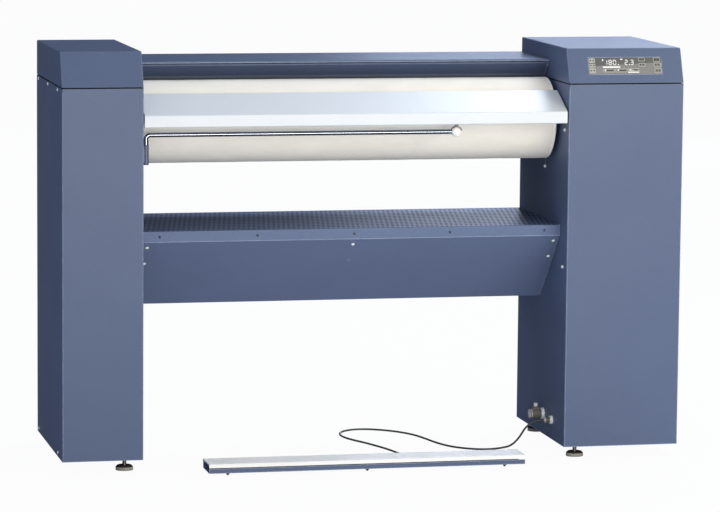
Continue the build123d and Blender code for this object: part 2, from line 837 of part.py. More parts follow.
with BuildPart() as element_clamps:
    clamp_pitch = (element_right - element_left - 2 * clamp_inset) / (clamp_count - 1)
    for clamp in range(clamp_count):
        clamp_x = element_left + clamp_inset + clamp * clamp_pitch
        with BuildSketch(swing_plane(clamp_x - clamp_width / 2)):
            for element_angle in element_angles:
                bar_reach = element_plane_reach + element_radius + clamp_bar / 2
                stem = bar_reach - trough_outer
                for reach, thick, wide in (
                    (bar_reach, clamp_bar, 2 * (element_half_gap + clamp_overhang)),
                    (trough_outer + stem / 2, stem, clamp_stem),
                ):
                    place = Location(
                        (
                            roller_centre[0] + reach * cos(radians(element_angle)),
                            roller_centre[1] + reach * sin(radians(element_angle)),
                        ),
                        element_angle,
                    )
                    with Locations(place):
                        Rectangle(thick, wide)
        extrude(amount=clamp_width)
keep(element_clamps, "element_clamps")

shield_radius = 130.0
shield_sheet = 1.2
shield_setback = 4.0  # degrees inside the trough's edges
with BuildPart() as heat_shield:
    with BuildSketch(swing_plane(trough_left + bracket_thickness)):
        shield_angles = trough_bottom_angle + shield_setback, trough_top_angle - shield_setback
        add(ring_sector(shield_radius, shield_radius + shield_sheet, *shield_angles))
    extrude(amount=trough_right - trough_left - 2 * bracket_thickness)
keep(heat_shield, "heat_shield")

sensor_angle = 11.0
sensor_x = -8.0
sensor_length = 30.0
sensor_width = 12.0
sensor_height = 8.0
sensor_reach = trough_outer + sensor_height / 2
with BuildPart() as temperature_sensor:
    with BuildSketch(swing_plane(sensor_x)):
        with Locations(
            Location(
                (
                    roller_centre[0] + sensor_reach * cos(radians(sensor_angle)),
                    roller_centre[1] + sensor_reach * sin(radians(sensor_angle)),
                ),
                sensor_angle,
            )
        ):
            Rectangle(sensor_height, sensor_width)
    extrude(amount=sensor_length)
keep(temperature_sensor, "temperature_sensor")


# ---------------------------------------------------------------- press arms and linkage
arm_clear = 6.0
arm_boss = 24.0
stub_boss = 20.0
lug_boss = 16.0
arm_hole_radius = 26.0
arm_hole_share = 0.42  # along the way from the pivot to the stub
arm_hole_ahead = 25.0
lug_place = (lug_reach * cos(radians(press_angle / 2)), lug_reach * sin(radians(press_angle / 2)))
link_thickness = 8.0
link_eye_wall = 7.0
washer_gap = 1.0
washer_wall = 3.0
washer_thickness = 2.0
link_gap = 1.5
right_arm_x = right_plate_out + arm_clear
left_arm_x = left_plate_out - arm_clear
link_x = right_arm_x + arm_thickness + link_gap
crank_x = link_x + link_thickness + link_gap
crank_disc = 18.0
crank_width = 10.0
crank_shaft = 8.0
crank_grip = 30.0  # shaft inside the gearbox
press_face = crank_x + crank_width + 2.0
press_motor_radius = 38.0
press_motor_length = 110.0


def press_arm(arm_x, trough_end, side, lug=False):
    """Lever that swings the trough: pivot bore, stub to the trough and a lug for the link."""
    bosses = [((0, 0), arm_boss), (stub_centre, stub_boss)]
    if lug:
        bosses.append((lug_place, lug_boss))
    with BuildPart() as arm:
        with BuildSketch(swing_plane(arm_x)):
            for place, radius in bosses:
                with Locations(place):
                    Circle(radius)
            make_hull()
            Circle(pivot_pin_radius + running, mode=Mode.SUBTRACT)
            if lug:
                along = arm_hole_share * Vector(*stub_centre) + Vector(arm_hole_ahead, 0)
                with Locations(along):
                    Circle(arm_hole_radius, mode=Mode.SUBTRACT)
        extrude(amount=side * arm_thickness)
        with BuildSketch(swing_plane(arm_x)):
            with Locations(stub_centre):
                Circle(stub_radius)
        extrude(amount=trough_end - arm_x)
        if lug:
            with BuildSketch(swing_plane(arm_x + arm_thickness)):
                with Locations(lug_place):
                    Circle(link_pin_radius)
            extrude(amount=link_gap + link_thickness + washer_gap)
            with BuildSketch(swing_plane(link_x + link_thickness + fit)):
                with Locations(lug_place):
                    Circle(link_pin_radius + washer_wall)
            extrude(amount=washer_thickness)
    return arm


left_press_arm = press_arm(left_arm_x, trough_left, -1)
keep(left_press_arm, "left_press_arm")
right_press_arm = press_arm(right_arm_x, trough_right, 1, lug=True)
keep(right_press_arm, "right_press_arm")

pivot_collar_radius = pivot_pin_radius + 5.0
pivot_head = 4.0
with BuildPart() as arm_pivot_pins:
    for plate_face, side in ((left_plate_out, -1), (right_plate_out, 1)):
        for start, length, radius in (
            (0.0, arm_clear - fit, pivot_collar_radius),
            (0.0, arm_clear + arm_thickness + fit, pivot_pin_radius),
            (arm_clear + arm_thickness + fit, pivot_head, pivot_collar_radius),
        ):
            with BuildSketch(Plane.YZ.offset(plate_face + side * start)):
                with Locations((pivot_y, pivot_z)):
                    Circle(radius)
            extrude(amount=side * length)
keep(arm_pivot_pins, "arm_pivot_pins")

link_top_y = pivot_y + lug_reach * cos(radians(press_angle / 2))
link_top_z = pivot_z - lug_reach * sin(radians(press_angle / 2))
with BuildPart() as press_link:
    with BuildSketch(Plane.YZ.offset(link_x)):
        with Locations((link_top_y, link_top_z), (link_top_y, link_top_z - link_length)):
            Circle(link_pin_radius + link_eye_wall)
        make_hull()
        with Locations((link_top_y, link_top_z)):
            Circle(link_pin_radius + running, mode=Mode.SUBTRACT)
        with Locations((link_top_y, link_top_z - link_length)):
            Circle(link_pin_radius + open_pivot_clearance, mode=Mode.SUBTRACT)
    extrude(amount=link_thickness)
keep(press_link, "press_link")

crank_pin_y = crank_y + crank_radius * cos(radians(crank_swing / 2))
crank_pin_z = crank_z - crank_radius * sin(radians(crank_swing / 2))
with BuildPart() as press_crank:
    with BuildSketch(Plane.YZ.offset(crank_x)):
        with Locations((crank_y, crank_z)):
            Circle(crank_disc)
    extrude(amount=crank_width)
    with BuildSketch(Plane.YZ.offset(link_x)):
        with Locations((crank_pin_y, crank_pin_z)):
            Circle(link_pin_radius)
    extrude(amount=crank_x - link_x)
    with BuildSketch(Plane.YZ.offset(crank_x)):
        with Locations((crank_y, crank_z)):
            Circle(crank_shaft)
    extrude(amount=press_face + crank_grip - crank_x)
keep(press_crank, "press_crank")

press_gearmotor = gearmotor(
    press_face, crank_y, crank_z, crank_shaft, press_box, press_motor_radius, press_motor_length
)
keep(press_gearmotor, "press_gearmotor")


# ---------------------------------------------------------------- bent sheets between the columns
def bent_sheet(path, thickness, low_x, high_x, inner_side):
    """Sheet bent along an outer path of (setback, height) points, between two X places."""
    with BuildPart() as piece:
        with BuildSketch(Plane.YZ.offset(low_x)):
            with BuildLine():
                FilletPolyline(*[(front + setback, height) for setback, height in path], radius=bend)
                offset(amount=thickness, side=inner_side)
            make_face()
        extrude(amount=high_x - low_x)
    return piece.part


sheet_left = left_in + end_gap
sheet_right = right_in - end_gap
cover_hem = 10.0
cover_path = (
    (cover_front_setback, cover_top - cover_lip_height),
    (cover_front_setback, cover_top),
    (column_depth, cover_top),
    (column_depth, cover_bottom),
    (column_depth - cover_hem, cover_bottom),
)
with BuildPart() as trough_cover:
    add(bent_sheet(cover_path, sheet, sheet_left, sheet_right, Side.RIGHT))
keep(trough_cover, "trough_cover")

board_hem = 12.0
board_path = (
    (board_hem, flange_bottom),
    (0.0, flange_bottom),
    (0.0, flange_top),
    (board_rear_setback, board_rear_height),
)
board_left = left_in + board_left_gap
board_right = right_in - board_right_gap
with BuildPart() as feed_board:
    add(bent_sheet(board_path, board_sheet, board_left, board_right, Side.RIGHT))
keep(feed_board, "feed_board")

tray_front_y = front + tray_setback
lip_screw_z = tray_top_height - tray_lip / 2
lip_screw_left = 50.4  # outer lip screws to the columns
lip_screw_right = 40.4
lip_screw_pitch = (gap_width - lip_screw_left - lip_screw_right) / 4
lip_screw_places = [
    (left_in + lip_screw_left + step * lip_screw_pitch, lip_screw_z) for step in range(5)
]
tray_drop = 21.0
tray_path = (
    (tray_setback, tray_top_height - tray_lip),
    (tray_setback, tray_top_height),
    (column_depth, tray_top_height),
    (column_depth, tray_top_height - tray_drop),
)
with BuildPart() as tray_top:
    add(bent_sheet(tray_path, sheet, sheet_left, sheet_right, Side.RIGHT))
    with BuildSketch(Plane.XZ.offset(-tray_front_y)):
        with Locations(*lip_screw_places):
            Circle(small_screw_radius + running)
    extrude(amount=2 * sheet, both=True, mode=Mode.SUBTRACT)
keep(tray_top, "tray_top")

slope_screw_inset = 12.5
slope_screw_x = (left_in + slope_screw_inset, lip_screw_places[2][0], right_in - slope_screw_inset)
slope_rise = tray_top_height - tray_lip - tray_bottom
slope_run = tray_bottom_setback - tray_setback - sheet
slope_plane = Plane(
    origin=(0, front + tray_setback + sheet, tray_top_height - tray_lip),
    x_dir=(1, 0, 0),
    z_dir=(0, -slope_rise, -slope_run),
)
slope_screw_places = [(x, -reach) for x in slope_screw_x for reach in (21.0, 85.0)]
housing_path = (
    (tray_setback + sheet, tray_top_height - 5.0),
    (tray_setback + sheet, tray_top_height - tray_lip),
    (tray_bottom_setback, tray_bottom),
    (column_depth - sheet, tray_bottom),
    (column_depth - sheet, tray_top_height - tray_drop + 5.0),
)
with BuildPart() as tray_housing:
    add(bent_sheet(housing_path, sheet, sheet_left, sheet_right, Side.LEFT))
    with BuildSketch(slope_plane):
        with Locations(*slope_screw_places):
            Circle(small_screw_radius + running)
    extrude(amount=2 * sheet, both=True, mode=Mode.SUBTRACT)
    with BuildSketch(Plane.XZ.offset(-tray_front_y)):
        with Locations(*lip_screw_places):
            Circle(small_screw_radius + running)
    extrude(amount=4 * sheet, both=True, mode=Mode.SUBTRACT)
keep(tray_housing, "tray_housing")

guard_top = cover_top - cover_lip_height - guard_gap
guard_left = left_in + 1.0
guard_right = right_in - 1.0
guard_lug = 2.5
guard_lug_radius = 4.6
guard_pin = 6.0
guard_pin_out = 2.0  # pin past the column's face
guard_top_depth = 22.0
guard_hook = 4.0
guard_path = (
    (cover_front_setback + guard_top_depth, guard_top),
    (cover_front_setback - 0.5, guard_top),
    (guard_edge_setback, guard_edge_height),
    (guard_edge_setback + guard_hook, guard_edge_height + 3.5),
)
with BuildPart() as finger_guard:
    add(bent_sheet(guard_path, guard_sheet, guard_left, guard_right, Side.LEFT))
    for lug_low, pin_low in (
        (guard_left, left_in - guard_pin + guard_pin_out),
        (guard_right - guard_lug, right_in - guard_pin_out),
    ):
        with BuildSketch(Plane.YZ.offset(lug_low)):
            with Locations((guard_pivot_y, guard_pivot_z), (guard_pivot_y + 2.0, guard_top - 6.0)):
                Circle(guard_lug_radius)
            make_hull()
        extrude(amount=guard_lug)
        with BuildSketch(Plane.YZ.offset(pin_low)):
            with Locations((guard_pivot_y, guard_pivot_z)):
                Circle(guard_pin_radius)
        extrude(amount=guard_pin)
keep(finger_guard, "finger_guard")

board_rise = board_rear_height - flange_top
board_slope = sqrt(board_rear_setback**2 + board_rise**2)
under_board = board_sheet * board_slope / board_rear_setback
bracket_web = 2.0
bracket_depth = 22.0
bracket_width = 26.0
bracket_front = 10.0
bracket_rear = board_rear_setback - 15.0


def under_board_z(setback, drop=0.0):
    """Height of the feed board's underside, less a drop."""
    return flange_top + board_rise * setback / board_rear_setback - under_board - drop


with BuildPart() as board_brackets:
    for inner_x, side in ((left_in, 1), (right_in, -1)):
        for width, drop in ((bracket_web, bracket_depth), (bracket_width, bracket_web)):
            with BuildSketch(Plane.YZ.offset(inner_x)):
                Polygon(
                    (front + bracket_front, under_board_z(bracket_front)),
                    (front + bracket_rear, under_board_z(bracket_rear)),
                    (front + bracket_rear, under_board_z(bracket_rear, drop)),
                    (front + bracket_front, under_board_z(bracket_front, drop)),
                    align=None,
                )
            extrude(amount=side * width)
keep(board_brackets, "board_brackets")


# ---------------------------------------------------------------- laundry rail
socket_top = rail_height - socket_drop
socket_bottom = socket_top - socket_length
rail_x = left_in + socket_radius
rail_y = front + rail_setback
knob_x = rail_x + rail_reach
socket_floor = 4.0
rest_gap = 0.3
knob_bite = 4.0
collar_height = 9.0
socket_plate_depth = 24.0
socket_plate_height = 42.0
socket_plate_corner = 3.0
socket_plate_sheet = 2.0
socket_plate_setback = 15.0  # middle behind the column's front

with BuildPart() as rail_socket:
    with BuildSketch(Plane.XY.offset(socket_bottom)):
        with Locations((rail_x, rail_y)):
            Circle(socket_radius)
    extrude(amount=socket_top - socket_bottom)
    with BuildSketch(Plane.YZ.offset(left_in)):
        with Locations((front + socket_plate_setback, between(socket_bottom, socket_top))):
            RectangleRounded(socket_plate_depth, socket_plate_height, socket_plate_corner)
    extrude(amount=socket_plate_sheet)
    with BuildSketch(Plane.XY.offset(socket_bottom + socket_floor)):
        with Locations((rail_x, rail_y)):
            Circle(rail_radius + running)
    extrude(amount=socket_top - socket_bottom, mode=Mode.SUBTRACT)
keep(rail_socket, "rail_socket")

with BuildPart() as laundry_rail:
    with BuildLine() as rail_path:
        FilletPolyline(
            (rail_x, rail_y, socket_bottom + socket_floor + rest_gap),
            (rail_x, rail_y, rail_height),
            (knob_x + knob_bite - rest_gap, rail_y, rail_height),
            radius=rail_bend,
        )
    with BuildSketch(Plane(origin=rail_path.line @ 0, z_dir=(0, 0, 1))):
        Circle(rail_radius)
    sweep(path=rail_path.line)
    with BuildSketch(Plane.XY.offset(socket_top + rest_gap)):
        with Locations((rail_x, rail_y)):
            Circle(socket_radius)
    extrude(amount=collar_height)
keep(laundry_rail, "laundry_rail")

with BuildPart() as rail_knob:
    with Locations((knob_x, rail_y, rail_height)):
        Sphere(knob_radius)
    with BuildSketch(Plane.YZ.offset(knob_x + knob_bite)):
        with Locations((rail_y, rail_height)):
            Circle(rail_radius + running)
    extrude(amount=-2 * knob_radius, mode=Mode.SUBTRACT)
keep(rail_knob, "rail_knob")

catch_inner = knob_radius + 0.8
catch_sheet = 1.2
catch_low_angle = 15.0
catch_turn = 140.0
catch_width = 9.0
catch_stem = 8.0
catch_setback = 2.0
with BuildPart() as rail_catch:
    with BuildSketch(Plane.XZ.offset(-(front + catch_setback))):
        with BuildLine():
            catch_outer = catch_inner + catch_sheet
            over = CenterArc((knob_x, rail_height), catch_outer, catch_low_angle, catch_turn)
            under = CenterArc((knob_x, rail_height), catch_inner, catch_low_angle, catch_turn)
            Line(over @ 0, under @ 0)
            Line(over @ 1, under @ 1)
        make_face()
        with Locations((knob_x, between(rail_height + catch_inner, flange_bottom))):
            Rectangle(catch_stem, flange_bottom - rail_height - catch_inner)
        with Locations((knob_x, rail_height)):
            Circle(catch_inner, mode=Mode.SUBTRACT)
    extrude(amount=-catch_width)
keep(rail_catch, "rail_catch")


# ---------------------------------------------------------------- foot bar
bar_x = bar_offset - bar_length / 2
bar_front = front - bar_lead
bar_rear = bar_front + bar_depth
hook_clear = 0.08
hook_radius = bead_radius + hook_clear + hook_wall
tread_top = bar_top - rib_height
bead_y = bar_rear - hook_radius
bead_z = tread_top - hook_radius
tread_under = tread_top - tread_plate
wall_half = bar_sheet / 2
rib_count = int((bar_depth - 6.0) / rib_pitch)

with BuildPart() as bar_base:
    with BuildSketch(Plane.YZ.offset(bar_x)):
        with Locations((between(bar_front, bead_y + wall_half), bar_floor + wall_half)):
            Rectangle(bead_y + wall_half - bar_front, bar_sheet)
        with Locations((bar_front + wall_half, between(bar_floor, bar_base_top))):
            Rectangle(bar_sheet, bar_base_top - bar_floor)
        with Locations((bead_y, between(bar_floor, bead_z))):
            Rectangle(bar_sheet, bead_z - bar_floor)
        with Locations((bead_y, bead_z)):
            Circle(bead_radius)
    extrude(amount=bar_length)
keep(bar_base, "bar_base")

with BuildPart() as bar_tread:
    with BuildSketch(Plane.YZ.offset(bar_x)):
        with Locations((between(bar_front, bead_y), between(tread_under, tread_top))):
            Rectangle(bead_y - bar_front, tread_plate)
        with Locations((bar_front + wall_half, between(bar_base_top + tread_gap, tread_top))):
            Rectangle(bar_sheet, tread_top - bar_base_top - tread_gap)
        with Locations((between(bar_front, bead_y) - 1.0, tread_top + rib_height / 2)):
            with GridLocations(rib_pitch, 1.0, rib_count, 1):
                Rectangle(rib_pitch / 2, rib_height)
        with Locations((bead_y, bead_z)):
            Circle(hook_radius)
            Circle(bead_radius + hook_clear, mode=Mode.SUBTRACT)
        with Locations((bead_y, bead_z - hook_radius)):
            Rectangle(2 * bar_sheet, 2 * hook_wall + 2.0, mode=Mode.SUBTRACT)
    extrude(amount=bar_length)
keep(bar_tread, "bar_tread")

nub_radius = 8.0
nub_setback = 16.0
tip_radius = 2.5
tip_height = 1.8
nub_taper = 44.0  # degrees
nub_spots = [
    (bar_offset + step * (bar_length / 2 - nub_inset), place)
    for step in (-1, 0, 1)
    for place in (bar_front + nub_setback, bar_rear - nub_setback)
]
with BuildPart() as bar_feet:
    with BuildSketch(Plane.XY.offset(bar_floor)):
        with Locations(*nub_spots):
            Circle(nub_radius)
    extrude(amount=-(bar_floor - tip_height), taper=nub_taper)
    with BuildSketch(Plane.XY):
        with Locations(*nub_spots):
            Circle(tip_radius)
    extrude(amount=tip_height)
keep(bar_feet, "bar_feet")

leaf_span = 60.0
leaf = 0.6
leaf_width = 16.0
leaf_floor = bar_floor + bar_sheet
leaf_y = between(bar_front, bead_y)
with BuildPart() as bar_springs:
    for leaf_x in (bar_offset - bar_length / 4, bar_offset + bar_length / 4):
        with BuildSketch(Plane.XZ.offset(-(leaf_y - leaf_width / 2))):
            with BuildLine():
                ThreePointArc(
                    (leaf_x - leaf_span, leaf_floor + leaf),
                    (leaf_x, tread_under),
                    (leaf_x + leaf_span, leaf_floor + leaf),
                )
                offset(amount=leaf, side=Side.RIGHT)
            make_face()
        extrude(amount=-leaf_width)
keep(bar_springs, "bar_springs")

gland_nut = 4.8
gland_nut_length = 4.0
gland_neck = 3.6
gland_x = 120.0
gland_z = 12.5
gland_end = front + 12.0
switch_ahead = 62.0  # ahead of the bead
switch_aside = 20.0  # to the left of the gland
switch_size = (28.0, 11.0, 12.0)
plunger_radius = 1.5
plunger_top = 16.5
with BuildPart() as bar_switch:
    with Locations((gland_x - switch_aside, bead_y - switch_ahead, leaf_floor)):
        Box(*switch_size, align=standing)
        Cylinder(plunger_radius, plunger_top, align=standing)
keep(bar_switch, "bar_switch")

gland_plane = Plane(origin=(gland_x, bead_y + wall_half, gland_z), x_dir=(1, 0, 0), z_dir=(0, 1, 0))
with BuildPart() as bar_gland:
    with BuildSketch(gland_plane):
        RegularPolygon(gland_nut, 6)
    extrude(amount=gland_nut_length)
    with BuildSketch(gland_plane):
        Circle(gland_neck)
    extrude(amount=gland_end - bead_y - wall_half)
keep(bar_gland, "bar_gland")


# ---------------------------------------------------------------- sockets and plugs
large_socket = (12.0, 83.0)  # Y, Z
small_socket = (-72.0, 80.0)
socket_depth = 7.0
large_socket_radius = 14.5
small_socket_radius = 11.0
socket_taper = 8.0  # degrees
socket_face = right_in - socket_depth
collar_end = right_in - 23.0

with BuildPart() as wall_sockets:
    for place, radius in ((large_socket, large_socket_radius), (small_socket, small_socket_radius)):
        with BuildSketch(Plane.YZ.offset(right_in)):
            with Locations(place):
                Circle(radius)
        extrude(amount=-socket_depth, taper=socket_taper)
keep(wall_sockets, "wall_sockets")

hump_place = 13.0  # middle of the hump to the socket
hump_size = (16.0, 12.0, 16.5)
nub_top = 27.0
plug_nub_radius = 5.0
large_plug_steps = ((0.0, 22.0, 12.5), (22.0, 3.0, 11.2), (25.0, 1.6, 10.0), (26.6, 3.4, 11.2))
with BuildPart() as large_plug:
    for start, length, radius in large_plug_steps:
        with BuildSketch(Plane.YZ.offset(socket_face - start)):
            with Locations(large_socket):
                Circle(radius)
        extrude(amount=-length)
    with Locations((socket_face - hump_place, *large_socket)):
        Box(*hump_size, align=standing)
        Cylinder(plug_nub_radius, nub_top, align=standing)
keep(large_plug, "large_plug")

cable_plug_steps = ((0.0, 11.0, 7.5), (11.0, 5.0, 3.8))
with BuildPart() as cable_plug:
    for start, length, radius in cable_plug_steps:
        with BuildSketch(Plane.YZ.offset(socket_face - start)):
            with Locations(small_socket):
                Circle(radius)
        extrude(amount=-length)
keep(cable_plug, "cable_plug")

cable_floor = cable_radius + 0.1
cable_route = [
    (collar_end, small_socket[0], small_socket[1]),
    (436.0, -72.0, 80.0),
    (414.0, -68.0, 62.0),
    (402.0, -54.0, 33.0),
    (388.0, -30.0, 9.0),
    (364.0, -22.0, cable_floor),
    (334.0, -34.0, cable_floor),
    (300.0, -30.0, cable_floor),
    (262.0, -4.0, cable_floor),
    (235.0, 35.0, cable_floor),
    (217.0, 90.0, cable_floor),
    (206.0, 145.0, cable_floor),
    (190.0, 205.0, cable_floor),
    (160.0, 255.0, cable_floor),
    (125.0, 287.0, cable_floor),
    (85.0, 309.0, cable_floor),
    (45.0, 306.0, cable_floor),
    (13.0, 278.0, cable_floor),
    (0.0, 235.0, cable_floor),
    (5.0, 190.0, cable_floor),
    (22.0, 146.0, cable_floor),
    (41.0, 108.0, cable_floor),
    (57.0, 66.0, cable_floor),
    (73.0, 22.0, cable_floor),
    (86.0, -29.0, cable_floor),
    (97.0, -80.0, cable_floor),
    (112.0, -120.0, 4.5),
    (gland_x, -152.0, gland_z),
    (gland_x, gland_end, gland_z),
]


def bend_radii(route):
    """Radius of the arc at each inner point of a route."""
    radii = []
    for before, corner, after in zip(route, route[1:], route[2:]):
        arriving = Vector(*corner) - Vector(*before)
        leaving = Vector(*after) - Vector(*corner)
        half_turn = radians(arriving.get_angle(leaving)) / 2
        radii.append(0.45 * min(arriving.length, leaving.length) / tan(half_turn))
    return radii


cable_radii = bend_radii(cable_route)
with BuildPart() as foot_cable:
    with BuildLine() as cable_line:
        FilletPolyline(*cable_route, radius=cable_radii)
    with BuildSketch(Plane(origin=cable_line.line @ 0, z_dir=cable_line.line % 0)):
        Circle(cable_radius)
    sweep(path=cable_line.line)
keep(foot_cable, "foot_cable")
print("cable arc radii:", [round(radius) for radius in cable_radii])
print("cable length:", round(sum(edge.length for edge in cable_line.edges())))


# ---------------------------------------------------------------- electrical parts
electrical_x = between(right_plate_out, right_out)
electrical_inset = 95.0  # ahead of the back
electrical_room = 74.0  # column's width past the plate's
electrical_y = back - electrical_inset
electrical_width = right_width - electrical_room
electrical_height = 300.0
electrical_sheet = 2.0
electrical_foot = 42.0
device_rail = 7.0
device_rail_inset = 10.0
device_rail_height = 35.0
device_row_low = 120.0
device_row_high = 250.0
device_height = 80.0
device_step = 12.0  # the upper body stands out of the terminal body
devices = (  # offset from the plate's middle, row, width, depth
    (-75.0, device_row_low, 45.0, 70.0),
    (-23.0, device_row_low, 45.0, 70.0),
    (29.0, device_row_low, 45.0, 80.0),
    (-75.0, device_row_high, 36.0, 60.0),
    (-31.0, device_row_high, 36.0, 60.0),
    (35.0, device_row_high, 70.0, 90.0),
)
on_floor = (Align.CENTER, Align.MAX, Align.MIN)
on_wall = (Align.CENTER, Align.MAX, Align.CENTER)

with BuildPart() as electrical_plate:
    with Locations((electrical_x, electrical_y, base_high)):
        Box(electrical_width, electrical_sheet, electrical_height, align=on_floor)
        Box(electrical_width, electrical_foot, electrical_sheet, align=on_floor)
    for row in (device_row_low, device_row_high):
        with Locations((electrical_x, electrical_y - electrical_sheet, row)):
            Box(electrical_width - 2 * device_rail_inset, device_rail, device_rail_height, align=on_wall)
keep(electrical_plate, "electrical_plate")

with BuildPart() as contactors:
    for offset_x, row, device_width, device_depth in devices:
        rail_front = electrical_y - electrical_sheet - device_rail
        with Locations((electrical_x + offset_x, rail_front, row)):
            Box(device_width, device_depth, device_height, align=on_wall)
            Box(device_width, device_depth + device_step, device_height / 2, align=on_wall)
keep(contactors, "contactors")


# ---------------------------------------------------------------- screws
head_radius = 4.0
head_height = 2.4
lip_head_radius = 2.8
lip_head_height = 1.6
low_head_height = 1.2
rear_screw_inset = rear_flange + 7.0
rear_screw_ends = 60.0
head_taper = 25.0
screw_length = 8.0

with BuildPart() as panel_screws:
    for wall_x, side in ((left_out, -1), (right_out, 1)):
        for setback, height in outer_screw_places:
            with BuildSketch(Plane.YZ.offset(wall_x)):
                with Locations((front + setback, height)):
                    Circle(head_radius)
            extrude(amount=side * head_height, taper=head_taper)
            with BuildSketch(Plane.YZ.offset(wall_x)):
                with Locations((front + setback, height)):
                    Circle(small_screw_radius)
            extrude(amount=-side * screw_grip)
    for wall_x, side in ((left_in, 1), (right_in, -1)):
        for setback, height in inner_screw_places:
            with BuildSketch(Plane.YZ.offset(wall_x)):
                with Locations((front + setback, height)):
                    Circle(head_radius)
            extrude(amount=side * head_height, taper=head_taper)
            with BuildSketch(Plane.YZ.offset(wall_x)):
                with Locations((front + setback, height)):
                    Circle(small_screw_radius)
            extrude(amount=-side * screw_grip)
    for low_x, high_x in ((left_out, left_in), (right_in, right_out)):
        with BuildSketch(Plane.XZ.offset(-(back - sheet))):
            with Locations((between(low_x, high_x), between(foot_height, seam_height))):
                with GridLocations(
                    high_x - low_x - 2 * rear_screw_inset, seam_height - foot_height - rear_screw_ends, 2, 2
                ):
                    Circle(head_radius)
        extrude(amount=-low_head_height)
    with BuildSketch(slope_plane):
        with Locations(*slope_screw_places):
            Circle(head_radius)
    extrude(amount=head_height, taper=head_taper)
    with BuildSketch(slope_plane):
        with Locations(*slope_screw_places):
            Circle(small_screw_radius)
    extrude(amount=-screw_length)
keep(panel_screws, "panel_screws")

with BuildPart() as lip_screws:
    with BuildSketch(Plane.XZ.offset(-tray_front_y)):
        with Locations(*lip_screw_places):
            Circle(lip_head_radius)
    extrude(amount=lip_head_height, taper=head_taper)
    with BuildSketch(Plane.XZ.offset(-tray_front_y)):
        with Locations(*lip_screw_places):
            Circle(small_screw_radius)
    extrude(amount=-screw_length)
keep(lip_screws, "lip_screws")
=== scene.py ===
import json
import math

import bmesh
import bpy
import numpy as np
from mathutils import Matrix, Vector


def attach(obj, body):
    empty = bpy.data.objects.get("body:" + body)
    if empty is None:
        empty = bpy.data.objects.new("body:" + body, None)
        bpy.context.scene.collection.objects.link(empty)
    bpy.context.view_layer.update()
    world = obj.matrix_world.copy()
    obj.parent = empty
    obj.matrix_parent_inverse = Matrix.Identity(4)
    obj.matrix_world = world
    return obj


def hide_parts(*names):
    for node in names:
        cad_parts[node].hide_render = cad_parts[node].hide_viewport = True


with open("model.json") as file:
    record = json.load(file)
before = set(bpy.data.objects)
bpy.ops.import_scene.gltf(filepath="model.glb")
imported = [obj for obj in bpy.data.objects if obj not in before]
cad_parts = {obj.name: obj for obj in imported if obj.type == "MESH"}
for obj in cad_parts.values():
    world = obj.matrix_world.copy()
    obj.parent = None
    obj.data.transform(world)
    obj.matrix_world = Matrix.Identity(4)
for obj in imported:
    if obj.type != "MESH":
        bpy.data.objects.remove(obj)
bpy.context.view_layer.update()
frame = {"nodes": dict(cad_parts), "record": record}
scene = bpy.context.scene
scene.view_settings.view_transform = "Standard"
print("frame: %d nodes" % len(frame["nodes"]))


# camera, placed where the photograph was taken from

cameraValues = {
    "place": (-1.983, -8.936, 1.648),
    "yaw": 12.503,  # degrees to the right of straight ahead
    "pitch": 7.172,  # degrees down
    "roll": 0.4987,
    "lens": 184.6,
    "sensor": 36.0,
    "reach": 200.0,  # nothing farther away is drawn
}


def makeCamera(values):
    data = bpy.data.cameras.new("photoCamera")
    data.lens = values["lens"]
    data.sensor_width = values["sensor"]
    data.clip_end = values["reach"]
    camera = bpy.data.objects.new("photoCamera", data)
    scene.collection.objects.link(camera)
    turn = Matrix.Rotation(-math.radians(values["yaw"]), 4, "Z")
    turn = turn @ Matrix.Rotation(math.radians(90.0 - values["pitch"]), 4, "X")
    turn = turn @ Matrix.Rotation(math.radians(values["roll"]), 4, "Z")
    camera.matrix_world = Matrix.Translation(values["place"]) @ turn
    scene.camera = camera


makeCamera(cameraValues)
print("camera done")


# cable of the foot bar

cableValues = {
    "diameter": 0.005,
    "length": 1.18,
    "roundSteps": 4,
    "routeSteps": 10,
    "route": [
        (0.459, -0.072, 0.080), (0.436, -0.072, 0.080), (0.414, -0.068, 0.062),
        (0.402, -0.054, 0.033), (0.388, -0.030, 0.009), (0.364, -0.022, 0.0026),
        (0.334, -0.034, 0.0026), (0.300, -0.030, 0.0026), (0.262, -0.004, 0.0026),
        (0.235, 0.035, 0.0026), (0.217, 0.090, 0.0026), (0.206, 0.145, 0.0026),
        (0.190, 0.205, 0.0026), (0.160, 0.255, 0.0026), (0.125, 0.287, 0.0026),
        (0.085, 0.309, 0.0026), (0.045, 0.306, 0.0026), (0.013, 0.278, 0.0026),
        (0.000, 0.235, 0.0026), (0.005, 0.190, 0.0026), (0.022, 0.146, 0.0026),
        (0.041, 0.108, 0.0026), (0.057, 0.066, 0.0026), (0.073, 0.022, 0.0026),
        (0.086, -0.029, 0.0026), (0.097, -0.080, 0.0026), (0.112, -0.120, 0.0045),
        (0.120, -0.152, 0.0125), (0.120, -0.175, 0.0125),
    ],
}


def makeCable(values):
    data = bpy.data.curves.new("footCable", "CURVE")
    data.dimensions = "3D"
    data.bevel_depth = 1.0  # times each point's radius
    data.bevel_resolution = values["roundSteps"]
    data.resolution_u = values["routeSteps"]
    data.use_fill_caps = True
    spline = data.splines.new("NURBS")
    route = np.array(values["route"])
    spline.points.add(len(route) - 1)
    spline.points.foreach_set("co", np.column_stack([route, np.ones(len(route))]).ravel())
    spline.points.foreach_set("radius", np.full(len(route), values["diameter"] / 2))
    spline.order_u = 3
    spline.use_endpoint_u = True
    cable = bpy.data.objects.new("footCable", data)
    scene.collection.objects.link(cable)
    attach(cable, "machine")
    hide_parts("foot_cable")
    return cable


footCable = makeCable(cableValues)
print("cable done")


# nodes: small helpers, then the node groups that several finishes share


